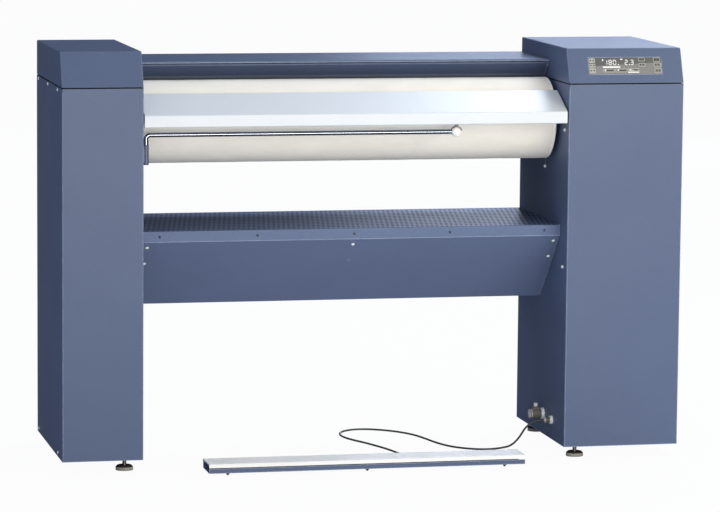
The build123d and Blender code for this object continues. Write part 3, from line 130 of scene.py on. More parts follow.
def addNode(tree, kind, inputs=None, **settings):
    node = tree.nodes.new(kind)
    for name, value in settings.items():
        setattr(node, name, value)
    for name, value in (inputs or {}).items():
        socket = node.inputs[name]
        if isinstance(value, bpy.types.NodeSocket):
            tree.links.new(value, socket)
        else:
            socket.default_value = value
    return node


def newGroup(name, inputs, outputs):
    group = bpy.data.node_groups.new(name, "ShaderNodeTree")
    for kind, title, value in inputs:
        socket = group.interface.new_socket(title, in_out="INPUT", socket_type=kind)
        if value is not None:
            socket.default_value = value
    for kind, title in outputs:
        group.interface.new_socket(title, in_out="OUTPUT", socket_type=kind)
    start = group.nodes.new("NodeGroupInput")
    end = group.nodes.new("NodeGroupOutput")
    return group, start.outputs, end


def noise(tree, vector, scale, detail, roughness):
    values = {"Vector": vector, "Scale": scale, "Detail": detail, "Roughness": roughness}
    return addNode(tree, "ShaderNodeTexNoise", values).outputs["Fac"]


def remap(tree, value, low, high, outLow=0.0, outHigh=1.0):
    values = {"Value": value, "From Min": low, "From Max": high,
              "To Min": outLow, "To Max": outHigh}
    return addNode(tree, "ShaderNodeMapRange", values).outputs["Result"]


def mathNode(tree, operation, first, second=0.0):
    return addNode(tree, "ShaderNodeMath", {0: first, 1: second}, operation=operation).outputs[0]


# The mix node's sockets 6 and 7 are its two colours, and its output 2 is the mixed one.
def mixColour(tree, factor, first, second, blend="MIX"):
    given = {0: factor}
    for index, colour in ((6, first), (7, second)):
        given[index] = colour if isinstance(colour, bpy.types.NodeSocket) else (*colour, 1.0)
    return addNode(tree, "ShaderNodeMix", given, data_type="RGBA", blend_type=blend).outputs[2]


def objectPlace(tree):
    return addNode(tree, "ShaderNodeTexCoord").outputs["Object"]


def objectParts(tree):
    return addNode(tree, "ShaderNodeSeparateXYZ", {0: objectPlace(tree)}).outputs


# One between two planes across an axis of the object.
def bandMask(tree, axis, low, high):
    given = {0: objectParts(tree)[axis], 1: (low + high) / 2, 2: (high - low) / 2}
    return addNode(tree, "ShaderNodeMath", given, operation="COMPARE").outputs[0]


# values of the node groups

groupValues = {
    "fine": (3.0, 0.6),  # noise: detail and roughness
    "drift": (5.0, 4.0, 0.55),  # noise: scale, detail and roughness
    "driftRange": (0.3, 0.7),
    "bevelSamples": 4,
    "edgeRange": (0.985, 0.90),  # cosine between the normals where the painted edge highlight starts and is full
    "broken": (60.0, 3.0, 0.6),
    "brokenRange": (0.3, 0.6, 0.55, 1.0),
    "crossed": 0.25,
    "high": 0.5,
}


# Two sizes of noise: a slow one drifts between the two colours and in roughness, a fine one gives
# grain in colour and height.
def makeSurfaceGrain(values):
    group, given, end = newGroup(
        "surfaceGrain",
        [("NodeSocketColor", "Colour", None), ("NodeSocketColor", "Drift Colour", None),
         ("NodeSocketFloat", "Grain Size", 0.001), ("NodeSocketFloat", "Grain Amount", 0.1),
         ("NodeSocketFloat", "Roughness", 0.4), ("NodeSocketFloat", "Roughness Spread", 0.1)],
        [("NodeSocketColor", "Colour"), ("NodeSocketFloat", "Roughness"),
         ("NodeSocketFloat", "Height")])
    place = objectPlace(group)
    fineScale = mathNode(group, "DIVIDE", 1.0, given["Grain Size"])
    fine = noise(group, place, fineScale, *values["fine"])
    drift = noise(group, place, *values["drift"])
    share = remap(group, drift, *values["driftRange"])
    base = mixColour(group, share, given["Colour"], given["Drift Colour"])
    swing = mathNode(group, "SUBTRACT", fine, 0.5)
    level = mathNode(group, "ADD", mathNode(group, "MULTIPLY", swing, given["Grain Amount"]), 1.0)
    grey = addNode(group, "ShaderNodeCombineColor", {"Red": level, "Green": level, "Blue": level})
    coloured = mixColour(group, 1.0, base, grey.outputs["Color"], "MULTIPLY")
    slow = mathNode(group, "SUBTRACT", drift, 0.5)
    lift = mathNode(group, "MULTIPLY", slow, given["Roughness Spread"])
    group.links.new(coloured, end.inputs["Colour"])
    group.links.new(mathNode(group, "ADD", given["Roughness"], lift), end.inputs["Roughness"])
    group.links.new(fine, end.inputs["Height"])
    return group


# The cosine between a rounded normal and the flat one tells an edge, where a highlight is painted;
# noise breaks the line up.
def makeEdgeHighlight(values):
    group, given, end = newGroup(
        "edgeHighlight", [("NodeSocketFloat", "Width", 0.0015), ("NodeSocketFloat", "Amount", 0.5)],
        [("NodeSocketFloat", "Mask")])
    rounded = addNode(group, "ShaderNodeBevel", {"Radius": given["Width"]},
                      samples=values["bevelSamples"]).outputs[0]
    flat = addNode(group, "ShaderNodeNewGeometry").outputs["True Normal"]
    dot = addNode(group, "ShaderNodeVectorMath", {0: rounded, 1: flat}, operation="DOT_PRODUCT")
    edge = remap(group, dot.outputs["Value"], *values["edgeRange"])
    uneven = noise(group, objectPlace(group), *values["broken"])
    broken = mathNode(group, "MULTIPLY", edge, remap(group, uneven, *values["brokenRange"]))
    group.links.new(mathNode(group, "MULTIPLY", broken, given["Amount"]), end.inputs["Mask"])
    return group


# How far a running number is from the middle of the whole step it is in.
def fromMiddle(tree, value):
    share = mathNode(tree, "FRACT", value)
    return mathNode(tree, "ABSOLUTE", mathNode(tree, "SUBTRACT", share, 0.5))


# Staggered slots: every second row is moved by half a pitch; 1 inside a slot.
def makeStaggeredSlots():
    group, given, end = newGroup(
        "staggeredSlots",
        [("NodeSocketFloat", "Pitch Along", 0.016), ("NodeSocketFloat", "Pitch Across", 0.0075),
         ("NodeSocketFloat", "Half Length", 0.3), ("NodeSocketFloat", "Half Width", 0.2)],
        [("NodeSocketFloat", "Mask")])
    part = objectParts(group)
    row = mathNode(group, "DIVIDE", part["Y"], given["Pitch Across"])
    whole = mathNode(group, "FLOOR", row)
    moved = mathNode(group, "MULTIPLY", mathNode(group, "FLOORED_MODULO", whole, 2.0), 0.5)
    step = mathNode(group, "DIVIDE", part["X"], given["Pitch Along"])
    along = mathNode(group, "ADD", step, moved)
    inAlong = mathNode(group, "LESS_THAN", fromMiddle(group, along), given["Half Length"])
    inAcross = mathNode(group, "LESS_THAN", fromMiddle(group, row), given["Half Width"])
    group.links.new(mathNode(group, "MULTIPLY", inAlong, inAcross), end.inputs["Mask"])
    return group


# Plain weave: two sets of threads as crossed waves, one over the other in turn. The height is
# a share of the waves' product and a share of the higher of the two.
def makeWeave(values):
    group, given, end = newGroup(
        "weave", [("NodeSocketVector", "Vector", None), ("NodeSocketFloat", "Thread", 0.0012)],
        [("NodeSocketFloat", "Height")])
    part = addNode(group, "ShaderNodeSeparateXYZ", {0: given["Vector"]}).outputs
    turns = mathNode(group, "DIVIDE", math.pi, given["Thread"])
    warp = mathNode(group, "SINE", mathNode(group, "MULTIPLY", part["X"], turns))
    weft = mathNode(group, "SINE", mathNode(group, "MULTIPLY", part["Y"], turns))
    warpHeight, weftHeight = (mathNode(group, "ABSOLUTE", wave) for wave in (warp, weft))
    high = mathNode(group, "MAXIMUM", warpHeight, weftHeight)
    crossed = mathNode(group, "MULTIPLY", mathNode(group, "MULTIPLY", warp, weft), values["crossed"])
    mixed = mathNode(group, "ADD", crossed, mathNode(group, "MULTIPLY", high, values["high"]))
    group.links.new(mixed, end.inputs["Height"])
    return group


surfaceGrain = makeSurfaceGrain(groupValues)
edgeHighlight = makeEdgeHighlight(groupValues)
staggeredSlots = makeStaggeredSlots()
weave = makeWeave(groupValues)
print("node groups done")


# finishes

# painted shadow in the seam between the casings and their caps
seamValues = {
    "clear": (0.929, 0.945),  # heights between which no edge highlight is painted
    "line": (0.9353, 0.9387),  # heights of the painted shadow line in the gap under the caps
    "colour": (0.020, 0.028, 0.055),
}

finishValues = {
    # edge, edgeWidth and the edge colour: a painted highlight along the edges
    "blue_enamel": {"colour": (0.102, 0.138, 0.248), "drift": (0.096, 0.130, 0.237), "grain": 0.0024,
                    "amount": 0.45, "roughness": 0.42, "spread": 0.08, "bump": 0.10, "specular": 0.30,
                    "edge": 0.9, "edgeWidth": 0.003, "edgeHighlightColour": (0.50, 0.57, 0.76),
                    "seam": seamValues},
    "board_steel": {"colour": (0.695, 0.735, 0.805), "drift": (0.67, 0.71, 0.785), "grain": 0.0024,
                    "amount": 0.14, "roughness": 0.34, "spread": 0.08, "bump": 0.03,
                    "edge": 0.8, "edgeWidth": 0.003, "edgeHighlightColour": (0.93, 0.95, 0.98)},
    "frame_paint": {"colour": (0.040, 0.046, 0.058), "drift": (0.034, 0.038, 0.048), "grain": 0.0016,
                    "amount": 0.3, "roughness": 0.6, "spread": 0.1, "bump": 0.1},
    "socket_paint": {"colour": (0.080, 0.098, 0.180), "drift": (0.072, 0.09, 0.165), "grain": 0.001,
                     "amount": 0.2, "roughness": 0.25, "spread": 0.05, "bump": 0.04, "specular": 0.6},
    "bearing_iron": {"colour": (0.075, 0.082, 0.092), "drift": (0.055, 0.058, 0.062), "grain": 0.0022,
                     "amount": 0.6, "roughness": 0.62, "spread": 0.2, "bump": 0.3},
    "steel": {"colour": (0.55, 0.56, 0.58), "drift": (0.46, 0.47, 0.49), "grain": 0.0008,
              "amount": 0.25, "roughness": 0.32, "spread": 0.15, "bump": 0.05, "metallic": 1.0},
    "gear_steel": {"colour": (0.34, 0.34, 0.36), "drift": (0.25, 0.24, 0.23), "grain": 0.0009,
                   "amount": 0.3, "roughness": 0.36, "spread": 0.2, "bump": 0.06, "metallic": 1.0},
    "dark_steel": {"colour": (0.085, 0.100, 0.160), "drift": (0.075, 0.09, 0.145), "grain": 0.0008,
                   "amount": 0.3, "roughness": 0.25, "spread": 0.1, "bump": 0.05, "metallic": 0.3},
    "trough_metal": {"colour": (0.62, 0.62, 0.61), "drift": (0.50, 0.49, 0.46), "grain": 0.001,
                     "amount": 0.2, "roughness": 0.3, "spread": 0.15, "bump": 0.04, "metallic": 1.0},
    "element_sheath": {"colour": (0.11, 0.095, 0.088), "drift": (0.075, 0.062, 0.055), "grain": 0.0012,
                       "amount": 0.4, "roughness": 0.55, "spread": 0.2, "bump": 0.1, "metallic": 0.7},
    "motor_paint": {"colour": (0.090, 0.105, 0.130), "drift": (0.075, 0.088, 0.110), "grain": 0.0013,
                    "amount": 0.3, "roughness": 0.42, "spread": 0.1, "bump": 0.12},
    "tread_aluminium": {"colour": (0.88, 0.90, 0.94), "drift": (0.78, 0.81, 0.87), "grain": 0.003,
                        "amount": 0.30, "roughness": 0.34, "spread": 0.12, "bump": 0.05},
    "chrome": {"colour": (0.40, 0.45, 0.54), "drift": (0.36, 0.41, 0.50), "grain": 0.002,
               "amount": 0.05, "roughness": 0.12, "spread": 0.04, "bump": 0.0, "metallic": 1.0},
    "white_plastic": {"colour": (0.82, 0.82, 0.81), "drift": (0.78, 0.78, 0.76), "grain": 0.0012,
                      "amount": 0.05, "roughness": 0.28, "spread": 0.08, "bump": 0.02},
    "dark_plastic": {"colour": (0.030, 0.033, 0.036), "drift": (0.024, 0.026, 0.029), "grain": 0.0009,
                     "amount": 0.3, "roughness": 0.46, "spread": 0.1, "bump": 0.12},
    "pad_rubber": {"colour": (0.018, 0.019, 0.022), "drift": (0.026, 0.026, 0.028), "grain": 0.0010,
                   "amount": 0.4, "roughness": 0.72, "spread": 0.12, "bump": 0.15},
    "cable_jacket": {"colour": (0.060, 0.062, 0.064), "drift": (0.048, 0.050, 0.052), "grain": 0.0007,
                     "amount": 0.3, "roughness": 0.42, "spread": 0.1, "bump": 0.1},
    "board_green": {"colour": (0.012, 0.085, 0.035), "drift": (0.010, 0.07, 0.03), "grain": 0.0015,
                    "amount": 0.4, "roughness": 0.4, "spread": 0.1, "bump": 0.05},
    "display_glass": {"colour": (0.246, 0.246, 0.250), "drift": (0.236, 0.236, 0.240), "grain": 0.002,
                      "amount": 0.10, "roughness": 0.16, "spread": 0.05, "bump": 0.01},
    "cover_cloth": {"colour": (0.95, 0.91, 0.855), "drift": (0.91, 0.87, 0.815), "grain": 0.004,
                    "amount": 0.10, "roughness": 0.85, "spread": 0.05, "bump": 0.4},
}


# Paint, metal, plastic or cloth: grain, and where the values ask for it a painted highlight along the
# edges, a painted shadow line in the seam under the caps, and embossed slots with painted shade.
def makeFinish(name, values, slots=None):
    material = bpy.data.materials.new(name)
    material.use_nodes = True
    tree = material.node_tree
    shader = tree.nodes["Principled BSDF"]
    grain = addNode(tree, "ShaderNodeGroup", {
        "Colour": (*values["colour"], 1.0), "Drift Colour": (*values["drift"], 1.0),
        "Grain Size": values["grain"], "Grain Amount": values["amount"],
        "Roughness": values["roughness"], "Roughness Spread": values["spread"],
    }, node_tree=surfaceGrain).outputs
    colour, height, roughness = grain["Colour"], grain["Height"], grain["Roughness"]
    seam = values.get("seam")
    # painted highlight: a lighter colour along the edges
    if "edge" in values:
        given = {"Amount": values["edge"], "Width": values["edgeWidth"]}
        mask = addNode(tree, "ShaderNodeGroup", given, node_tree=edgeHighlight).outputs["Mask"]
        if seam:
            highlightAllowed = mathNode(tree, "SUBTRACT", 1.0, bandMask(tree, "Z", *seam["clear"]))
            mask = mathNode(tree, "MULTIPLY", mask, highlightAllowed)
        colour = mixColour(tree, mask, colour, values["edgeHighlightColour"])
    # painted shadow line in the seam under the caps
    if seam:
        colour = mixColour(tree, bandMask(tree, "Z", *seam["line"]), colour, seam["colour"])
    if slots:
        pattern = addNode(tree, "ShaderNodeGroup", slots["sizes"], node_tree=staggeredSlots)
        mask, part = pattern.outputs["Mask"], objectParts(tree)
        for axis in ("Z", "Y"):
            inside = mathNode(tree, "GREATER_THAN", part[axis], slots["from" + axis])
            mask = mathNode(tree, "MULTIPLY", inside, mask)
        # painted shade in the slots
        colour = mixColour(tree, mask, colour, slots["colour"])
        height = mathNode(tree, "SUBTRACT", height, mask)
        rough = mathNode(tree, "MULTIPLY", mask, slots["rougher"])
        roughness = mathNode(tree, "ADD", roughness, rough)
    bump = addNode(tree, "ShaderNodeBump",
                   {"Strength": values["bump"], "Distance": values["grain"], "Height": height})
    tree.links.new(colour, shader.inputs["Base Color"])
    tree.links.new(roughness, shader.inputs["Roughness"])
    tree.links.new(bump.outputs["Normal"], shader.inputs["Normal"])
    shader.inputs["Metallic"].default_value = values.get("metallic", 0.0)
    shader.inputs["Specular IOR Level"].default_value = values.get("specular", 0.5)
    return material


# A finish that differs from a listed one in some values.
def makeVariant(name, base, changes, slots=None):
    return makeFinish(name, dict(finishValues[base], **changes), slots)


# Node tree of a finish, its shader, and the socket that gives its colour so far.
def openFinish(material):
    tree = material.node_tree
    shader = tree.nodes["Principled BSDF"]
    return tree, shader, shader.inputs["Base Color"].links[0].from_socket


finishes = {name: makeFinish(name, values) for name, values in finishValues.items()}

slotOfNode = {part["node"]: part["material_slot"] for part in frame["record"]["subparts"]}
for name, node in frame["nodes"].items():
    for slot in node.material_slots:
        slot.material = finishes[slotOfNode[name]]
footCable.data.materials.append(finishes["cable_jacket"])


def giveMaterial(nodeName, material):
    for slot in frame["nodes"][nodeName].material_slots:
        slot.material = material


# lighter or darker versions for single nodes: name, base, colour and drift colour

nodeFinishes = {
    "wall_sockets": ("socketWhite", "white_plastic", (0.95, 0.96, 0.98), (0.93, 0.94, 0.96)),
    "rail_knob": ("knobWhite", "white_plastic", (0.97, 0.97, 0.96), (0.96, 0.96, 0.95)),
    "rail_catch": ("catchPaint", "frame_paint", (0.17, 0.16, 0.145), (0.15, 0.14, 0.13)),
    # painted shade: the finger guard's face in the blue enamel darkened
    "finger_guard": ("guardShadedEnamel", "blue_enamel", (0.076, 0.102, 0.185), (0.070, 0.094, 0.172)),
    # painted light: the tray housing in the blue enamel made lighter
    "tray_housing": ("trayHousingLitEnamel", "blue_enamel", (0.140, 0.182, 0.316), (0.132, 0.172, 0.301)),
}
for nodeName, (title, base, colour, drift) in nodeFinishes.items():
    giveMaterial(nodeName, makeVariant(title, base, {"colour": colour, "drift": drift}))


# bands of another colour on a node's own finish, each between two planes

bandValues = {
    "foot_pads": [("Z", 0.0, 0.0085, (0.30, 0.29, 0.27))],
    # painted shade in the grooves below the ribs' tops, and a painted highlight on the front flange
    "bar_tread": [("Z", 0.0, 0.02905, (0.75, 0.80, 0.91)),
                  ("Y", -0.2735, -0.2713, (0.97, 0.97, 0.98))],
}


def makeBandedFinish(nodeName, bands):
    material = finishes[slotOfNode[nodeName]].copy()
    material.name = nodeName + "Banded"
    tree, shader, colour = openFinish(material)
    for axis, low, high, shade in bands:
        colour = mixColour(tree, bandMask(tree, axis, low, high), colour, shade)
    tree.links.new(colour, shader.inputs["Base Color"])
    return material


for nodeName, bands in bandValues.items():
    giveMaterial(nodeName, makeBandedFinish(nodeName, bands))


# the tray's embossed top, in a lighter and bluer copy of the blue enamel as painted light, with
# painted shade in the slots

traySlots = {
    "sizes": {"Pitch Along": 0.0125, "Pitch Across": 0.0330, "Half Length": 0.26, "Half Width": 0.26},
    "fromZ": 0.5795,
    "fromY": -0.117,
    # painted shade in the slots
    "colour": (0.050, 0.068, 0.128),
    "rougher": 0.4,
}
trayLitColours = {"colour": (0.112, 0.158, 0.300), "drift": (0.106, 0.150, 0.286)}
giveMaterial("tray_top", makeVariant("trayLitEnamel", "blue_enamel", trayLitColours, traySlots))


# smoked glass with a painted reflection: a darker band above a sloping line, a lighter one below it

glassValues = {
    "lineMiddle": 0.63,
    "lineHeight": 0.9835,  # at the line's middle
    "lineSlope": 0.05,
    "blur": 0.0012,
    # painted reflection: the darker band on the upper part of the glass
    "upper": (0.134, 0.134, 0.136),
}


def makeGlassFinish(values):
    material = makeFinish("smokedGlassReflection", finishValues["display_glass"])
    tree, shader, lower = openFinish(material)
    part = objectParts(tree)
    aside = mathNode(tree, "SUBTRACT", part["X"], values["lineMiddle"])
    line = mathNode(tree, "MULTIPLY", aside, values["lineSlope"])
    above = mathNode(tree, "SUBTRACT", part["Z"], mathNode(tree, "ADD", line, values["lineHeight"]))
    mask = remap(tree, above, -values["blur"], values["blur"])
    tree.links.new(mixColour(tree, mask, lower, values["upper"]), shader.inputs["Base Color"])
    return material


giveMaterial("control_glass", makeGlassFinish(glassValues))


# plugs: light rings on the dark plastic, in bands across X, and the large one's white nub

plugValues = {
    "light": (0.62, 0.61, 0.58),
    "large": {"bands": [(0.4444, 0.4468), (0.4494, 0.4518)], "nubAbove": 0.1015,
              "body": (0.170, 0.160, 0.140)},
    "cable": {"bands": [(0.4615, 0.4650)], "nubAbove": None, "body": (0.150, 0.142, 0.128)},
}


def makePlugFinish(name, values, light):
    body = {"colour": values["body"], "drift": values["body"]}
    material = makeVariant(name, "dark_plastic", body)
    tree, shader, colour = openFinish(material)
    for low, high in values["bands"]:
        colour = mixColour(tree, bandMask(tree, "X", low, high), colour, light)
    if values["nubAbove"]:
        mask = mathNode(tree, "GREATER_THAN", objectParts(tree)["Z"], values["nubAbove"])
        colour = mixColour(tree, mask, colour, finishValues["white_plastic"]["colour"])
    tree.links.new(colour, shader.inputs["Base Color"])
    return material


for kind in ("large", "cable"):
    giveMaterial(kind + "_plug", makePlugFinish(kind + "Plug", plugValues[kind], plugValues["light"]))
print("finishes done")


# meshes from grids


# Joins a (rows, columns, 3) array of points into quads; closedU joins the last row to the
# first one, closedV the last column to the first one. uv is one (rows + 1, columns + 1, 2)
# array of places on the cloth when both are closed.
def gridMesh(name, points, closedU=False, closedV=False, uv=None):
    rows, columns = points.shape[:2]
    index = np.arange(rows * columns).reshape(rows, columns)
    if closedU:
        index = np.vstack([index, index[:1]])
    if closedV:
        index = np.hstack([index, index[:, :1]])
    quads = np.stack([index[:-1, :-1], index[1:, :-1], index[1:, 1:], index[:-1, 1:]], axis=-1)
    mesh = bpy.data.meshes.new(name)
    mesh.from_pydata(points.reshape(-1, 3), [], quads.reshape(-1, 4).tolist())
    if uv is not None:
        layer = mesh.uv_layers.new(name="cloth")
        corners = np.stack([uv[:-1, :-1], uv[1:, :-1], uv[1:, 1:], uv[:-1, 1:]], axis=2)
        layer.uv.foreach_set("vector", corners.reshape(-1))
    mesh.update()
    return mesh


# Grids with closed rows joined into one mesh, doubled points merged, faces turned outwards.
def weldedMesh(name, grids):
    built = bmesh.new()
    for points in grids:
        part = gridMesh(name, points, closedV=True)
        built.from_mesh(part)
        bpy.data.meshes.remove(part)
    bmesh.ops.remove_doubles(built, verts=built.verts, dist=1e-6)
    bmesh.ops.recalc_face_normals(built, faces=built.faces)
    mesh = bpy.data.meshes.new(name)
    built.to_mesh(mesh)
    built.free()
    return mesh


def addPiece(name, mesh, body, slot, material=None, smooth=True):
    piece = bpy.data.objects.new(name, mesh)
    scene.collection.objects.link(piece)
    mesh.materials.append(material or finishes[slot])
    if smooth:
        mesh.polygons.foreach_set("use_smooth", np.ones(len(mesh.polygons), dtype=bool))
    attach(piece, body)
    return piece


# padded cover of the roller

coverValues = {
    "left": -0.568, "right": 0.472,  # ends along X
    "axis": (-0.011, 0.840),  # Y and Z of the roller's axis
    "radius": 0.102,
    "bore": 0.0943,
    "shoulder": 0.0040,
    "lipRadius": 0.080,
    "lipDepth": 0.003,
    "lumps": 0.0006,
    # waves of the lumps: radians in a metre along, waves round the roller, start in radians
    "waves": [(31, 2, 0.0), (57, -3, 1.3), (13, 5, 0.4), (90, 7, 2.0), (41, 4, 0.9)],
    "around": 320,
    "along": 300,
    "shoulderSteps": 9,
}
clothValues = {
    "thread": 0.0013,
    "relief": 1 / 3,  # depth of the bumps, as a share of a thread
    "streakStretch": (9.0, 22.0, 1.0),
    "streak": (1.0, 3.0, 0.55),  # noise: scale, detail and roughness
    "streakRange": (0.35, 0.7, 0.0, 0.35),
    "streakColour": (0.76, 0.73, 0.68),
    "streakHeight": 1.5,
    # painted shade in the weave's hollows
    "hollowRange": (0.1, 0.6, 0.18, 0.0),
    "hollowShadeColour": (0.62, 0.60, 0.55),
    "endHighlight": 0.0078,  # white painted highlight at each end
    "endHighlightColour": (0.99, 0.98, 0.95),
    "sheen": 0.15,
    "sheenRoughness": 0.4,
}


# Cloth: weave and slow streaks, longer along the roller than round it, in the piece's own UV,
# painted shade in the weave's hollows, and a white painted highlight near both ends.
def makeClothFinish(values, left, right):
    material = makeFinish("coverCloth", finishValues["cover_cloth"])
    tree, shader, colour = openFinish(material)
    bump = shader.inputs["Normal"].links[0].from_node
    place = addNode(tree, "ShaderNodeUVMap", uv_map="cloth").outputs[0]
    given = {"Vector": place, "Thread": values["thread"]}
    threads = addNode(tree, "ShaderNodeGroup", given, node_tree=weave).outputs["Height"]
    given = {"Vector": place, "Scale": values["streakStretch"]}
    stretched = addNode(tree, "ShaderNodeMapping", given).outputs[0]
    streak = noise(tree, stretched, *values["streak"])
    shade = remap(tree, streak, *values["streakRange"])
    colour = mixColour(tree, shade, colour, values["streakColour"])
    # painted shade in the weave's hollows
    hollow = remap(tree, threads, *values["hollowRange"])
    colour = mixColour(tree, hollow, colour, values["hollowShadeColour"])
    # painted highlight along both ends of the cover
    aside = mathNode(tree, "SUBTRACT", objectParts(tree)["X"], (left + right) / 2)
    reach = (right - left) / 2 - values["endHighlight"]
    endHighlight = mathNode(tree, "GREATER_THAN", mathNode(tree, "ABSOLUTE", aside), reach)
    colour = mixColour(tree, endHighlight, colour, values["endHighlightColour"])
    folds = mathNode(tree, "MULTIPLY", streak, values["streakHeight"])
    tree.links.new(mathNode(tree, "ADD", threads, folds), bump.inputs["Height"])
    bump.inputs["Distance"].default_value = values["thread"] * values["relief"]
    tree.links.new(colour, shader.inputs["Base Color"])
    shader.inputs["Sheen Weight"].default_value = values["sheen"]
    shader.inputs["Sheen Roughness"].default_value = values["sheenRoughness"]
    return material


# Profile turned round the axis: bore, end lip, rounded shoulder, long outside, shoulder, lip
# and back. The radius is the profile's less lumps, a sum of slow waves along and around.
def makeCover(values):
    left, right, radius, bore, shoulder, lipRadius, lipDepth = (values[key] for key in (
        "left", "right", "radius", "bore", "shoulder", "lipRadius", "lipDepth"))
    turn = np.linspace(0, np.pi / 2, values["shoulderSteps"])
    outside = np.linspace(left + shoulder, right - shoulder, values["along"])
    xs = np.concatenate([
        [left + lipDepth, left + lipDepth, left, left],
        left + shoulder - shoulder * np.cos(turn), outside[1:-1],
        right - shoulder + shoulder * np.sin(turn),
        [right, right, right - lipDepth, right - lipDepth],
    ])
    rs = np.concatenate([
        [bore, lipRadius, lipRadius, radius - 2 * shoulder],
        radius - shoulder + shoulder * np.sin(turn), np.full(len(outside) - 2, radius),
        radius - shoulder + shoulder * np.cos(turn),
        [radius - 2 * shoulder, lipRadius, lipRadius, bore],
    ])
    angle = np.linspace(0, 2 * np.pi, values["around"], endpoint=False)
    x, a = np.meshgrid(xs, angle, indexing="ij")
    r = np.repeat(rs[:, None], len(angle), axis=1)
    waves = sum(np.sin(along * x + around * a + start) for along, around, start in values["waves"])
    waves = waves / len(values["waves"])
    onOutside = np.clip((rs - bore) / (radius - bore), 0, 1)[:, None]
    r = r - values["lumps"] * (1 + waves) / 2 * onOutside
    y = values["axis"][0] + r * np.cos(a)
    z = values["axis"][1] + r * np.sin(a)
    path = np.append(0.0, np.cumsum(np.hypot(np.diff(xs, append=xs[0]), np.diff(rs, append=rs[0]))))
    arc = np.linspace(0, 2 * np.pi * radius, values["around"] + 1)
    uv = np.stack(np.meshgrid(path, arc, indexing="ij"), axis=-1)
    points = np.stack([x, y, z], axis=-1)
    mesh = gridMesh("rollerCover", points, closedU=True, closedV=True, uv=uv)
    cloth = makeClothFinish(clothValues, left, right)
    cover = addPiece("rollerCover", mesh, "roller", "cover_cloth", cloth)
    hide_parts("roller_cover")
    return cover


makeCover(coverValues)
print("cover done")


# lip that hangs from the finger guard's edge, down behind the roller's top, in the blue enamel
# darkened as painted shade

lipValues = {
    "left": -0.5765, "right": 0.4805,
    "front": 0.0405,
    "sheet": 0.0014,
    "top": 0.9495,
    "bottom": 0.9350,
    "roundSteps": 7,
    # painted shade: the blue enamel darkened
    "shadedFinish": {"colour": (0.042, 0.058, 0.105), "drift": (0.038, 0.053, 0.097)},
}


# Profile of a thin sheet with a half-round lower edge, drawn out along X, both ends closed.
def makeGuardLip(values):
    left, right, front, top, bottom = (values[key] for key in (
        "left", "right", "front", "top", "bottom"))
    half = values["sheet"] / 2
    turn = np.linspace(np.pi, 2 * np.pi, values["roundSteps"])
    ys = np.concatenate([[front], front + half + half * np.cos(turn), [front + 2 * half]])
    zs = np.concatenate([[top], bottom + half + half * np.sin(turn), [top]])
    ring = np.stack([np.zeros(len(ys)), ys, zs], axis=-1)
    middle = np.array([0.0, front + half, (top + bottom) / 2])
    pinch = np.repeat(middle[None, :], len(ys), axis=0)
    stations = [(left, pinch), (left, ring), (right, ring), (right, pinch)]
    points = np.array([outline + np.array([x, 0.0, 0.0]) for x, outline in stations])
    enamel = makeVariant("lipShadedEnamel", "blue_enamel", values["shadedFinish"])
    mesh = weldedMesh("guardLip", [points])
    return addPiece("guardLip", mesh, "guard", "blue_enamel", enamel, smooth=False)


makeGuardLip(lipValues)
print("guard lip done")


# marks printed on the glass, in mm to the right and up from its middle

markValues = {
    "middle": (0.629, -0.17018, 0.98006),
    "up": (0.0, 0.37138, 0.92848),
    "out": (0.0, -0.92848, 0.37138),
    "lift": 0.25,
    "signLift": 0.40,
    "thickness": 0.35,
    "white": {"colour": (0.90, 0.91, 0.92), "drift": (0.88, 0.89, 0.90)},
    "pale": {"colour": (0.42, 0.42, 0.40), "drift": (0.40, 0.40, 0.38)},
    "dark": {"colour": (0.045, 0.045, 0.045)},
    "digits": [("1", -54.2), ("8", -42.3), ("0", -31.2), (".", -18.9), ("2", -1.4), (".", 9.6),
               ("3", 13.4)],
    "digitSize": (8.4, 13.4),
    "digitFoot": 2.1,
    "stroke": 1.8,
    "strokeGap": 0.25,  # between a stroke's point and the place where strokes meet
    "pointSize": 2.6,
    "bars": [(-58.6, 12.9, -55.6, 17.3), (-12.0, 15.7, -6.0, 18.1), (-57.9, -4.9, -13.6, -1.3),
             (5.9, -18.0, 34.6, -15.6), (9.0, -12.0, 20.0, -9.4), (-53.5, -13.6, -50.5, -9.2),
             (-20.5, -12.8, -16.0, -9.6)],
    "barFrames": [(-57.9, -16.6, -27.6, -7.3), (-26.6, -16.6, 4.4, -7.3), (5.9, -14.6, 34.6, -6.3)],
    "discFrames": [(34.6, 11.7, 51.7, 21.0), (34.6, -2.6, 51.7, 7.0), (72.7, 9.6, 90.4, 21.0),
                   (73.5, -4.0, 91.6, 7.6), (74.5, -18.6, 92.6, -7.4)],
    "plates": [(-92.7, 8.0, -76.8, 19.8), (-92.7, -3.8, -76.8, 5.8), (-92.7, -19.0, -76.8, -6.0)],
    "line": 1.3,
    "corner": 2.2,
    "cornerSteps": 5,
    "disc": {"radius": 1.9, "apart": 3.9, "rise": 0.4, "around": 12},
    "barInset": {"left": 9, "right": 4, "ends": 3.4},
}
segmentsOf = {"0": "abcdef", "1": "bc", "2": "abged", "3": "abgcd", "8": "abcdefg"}


def box(x0, y0, x1, y1):
    return np.array([(x0, y0), (x1, y0), (x1, y1), (x0, y1)])


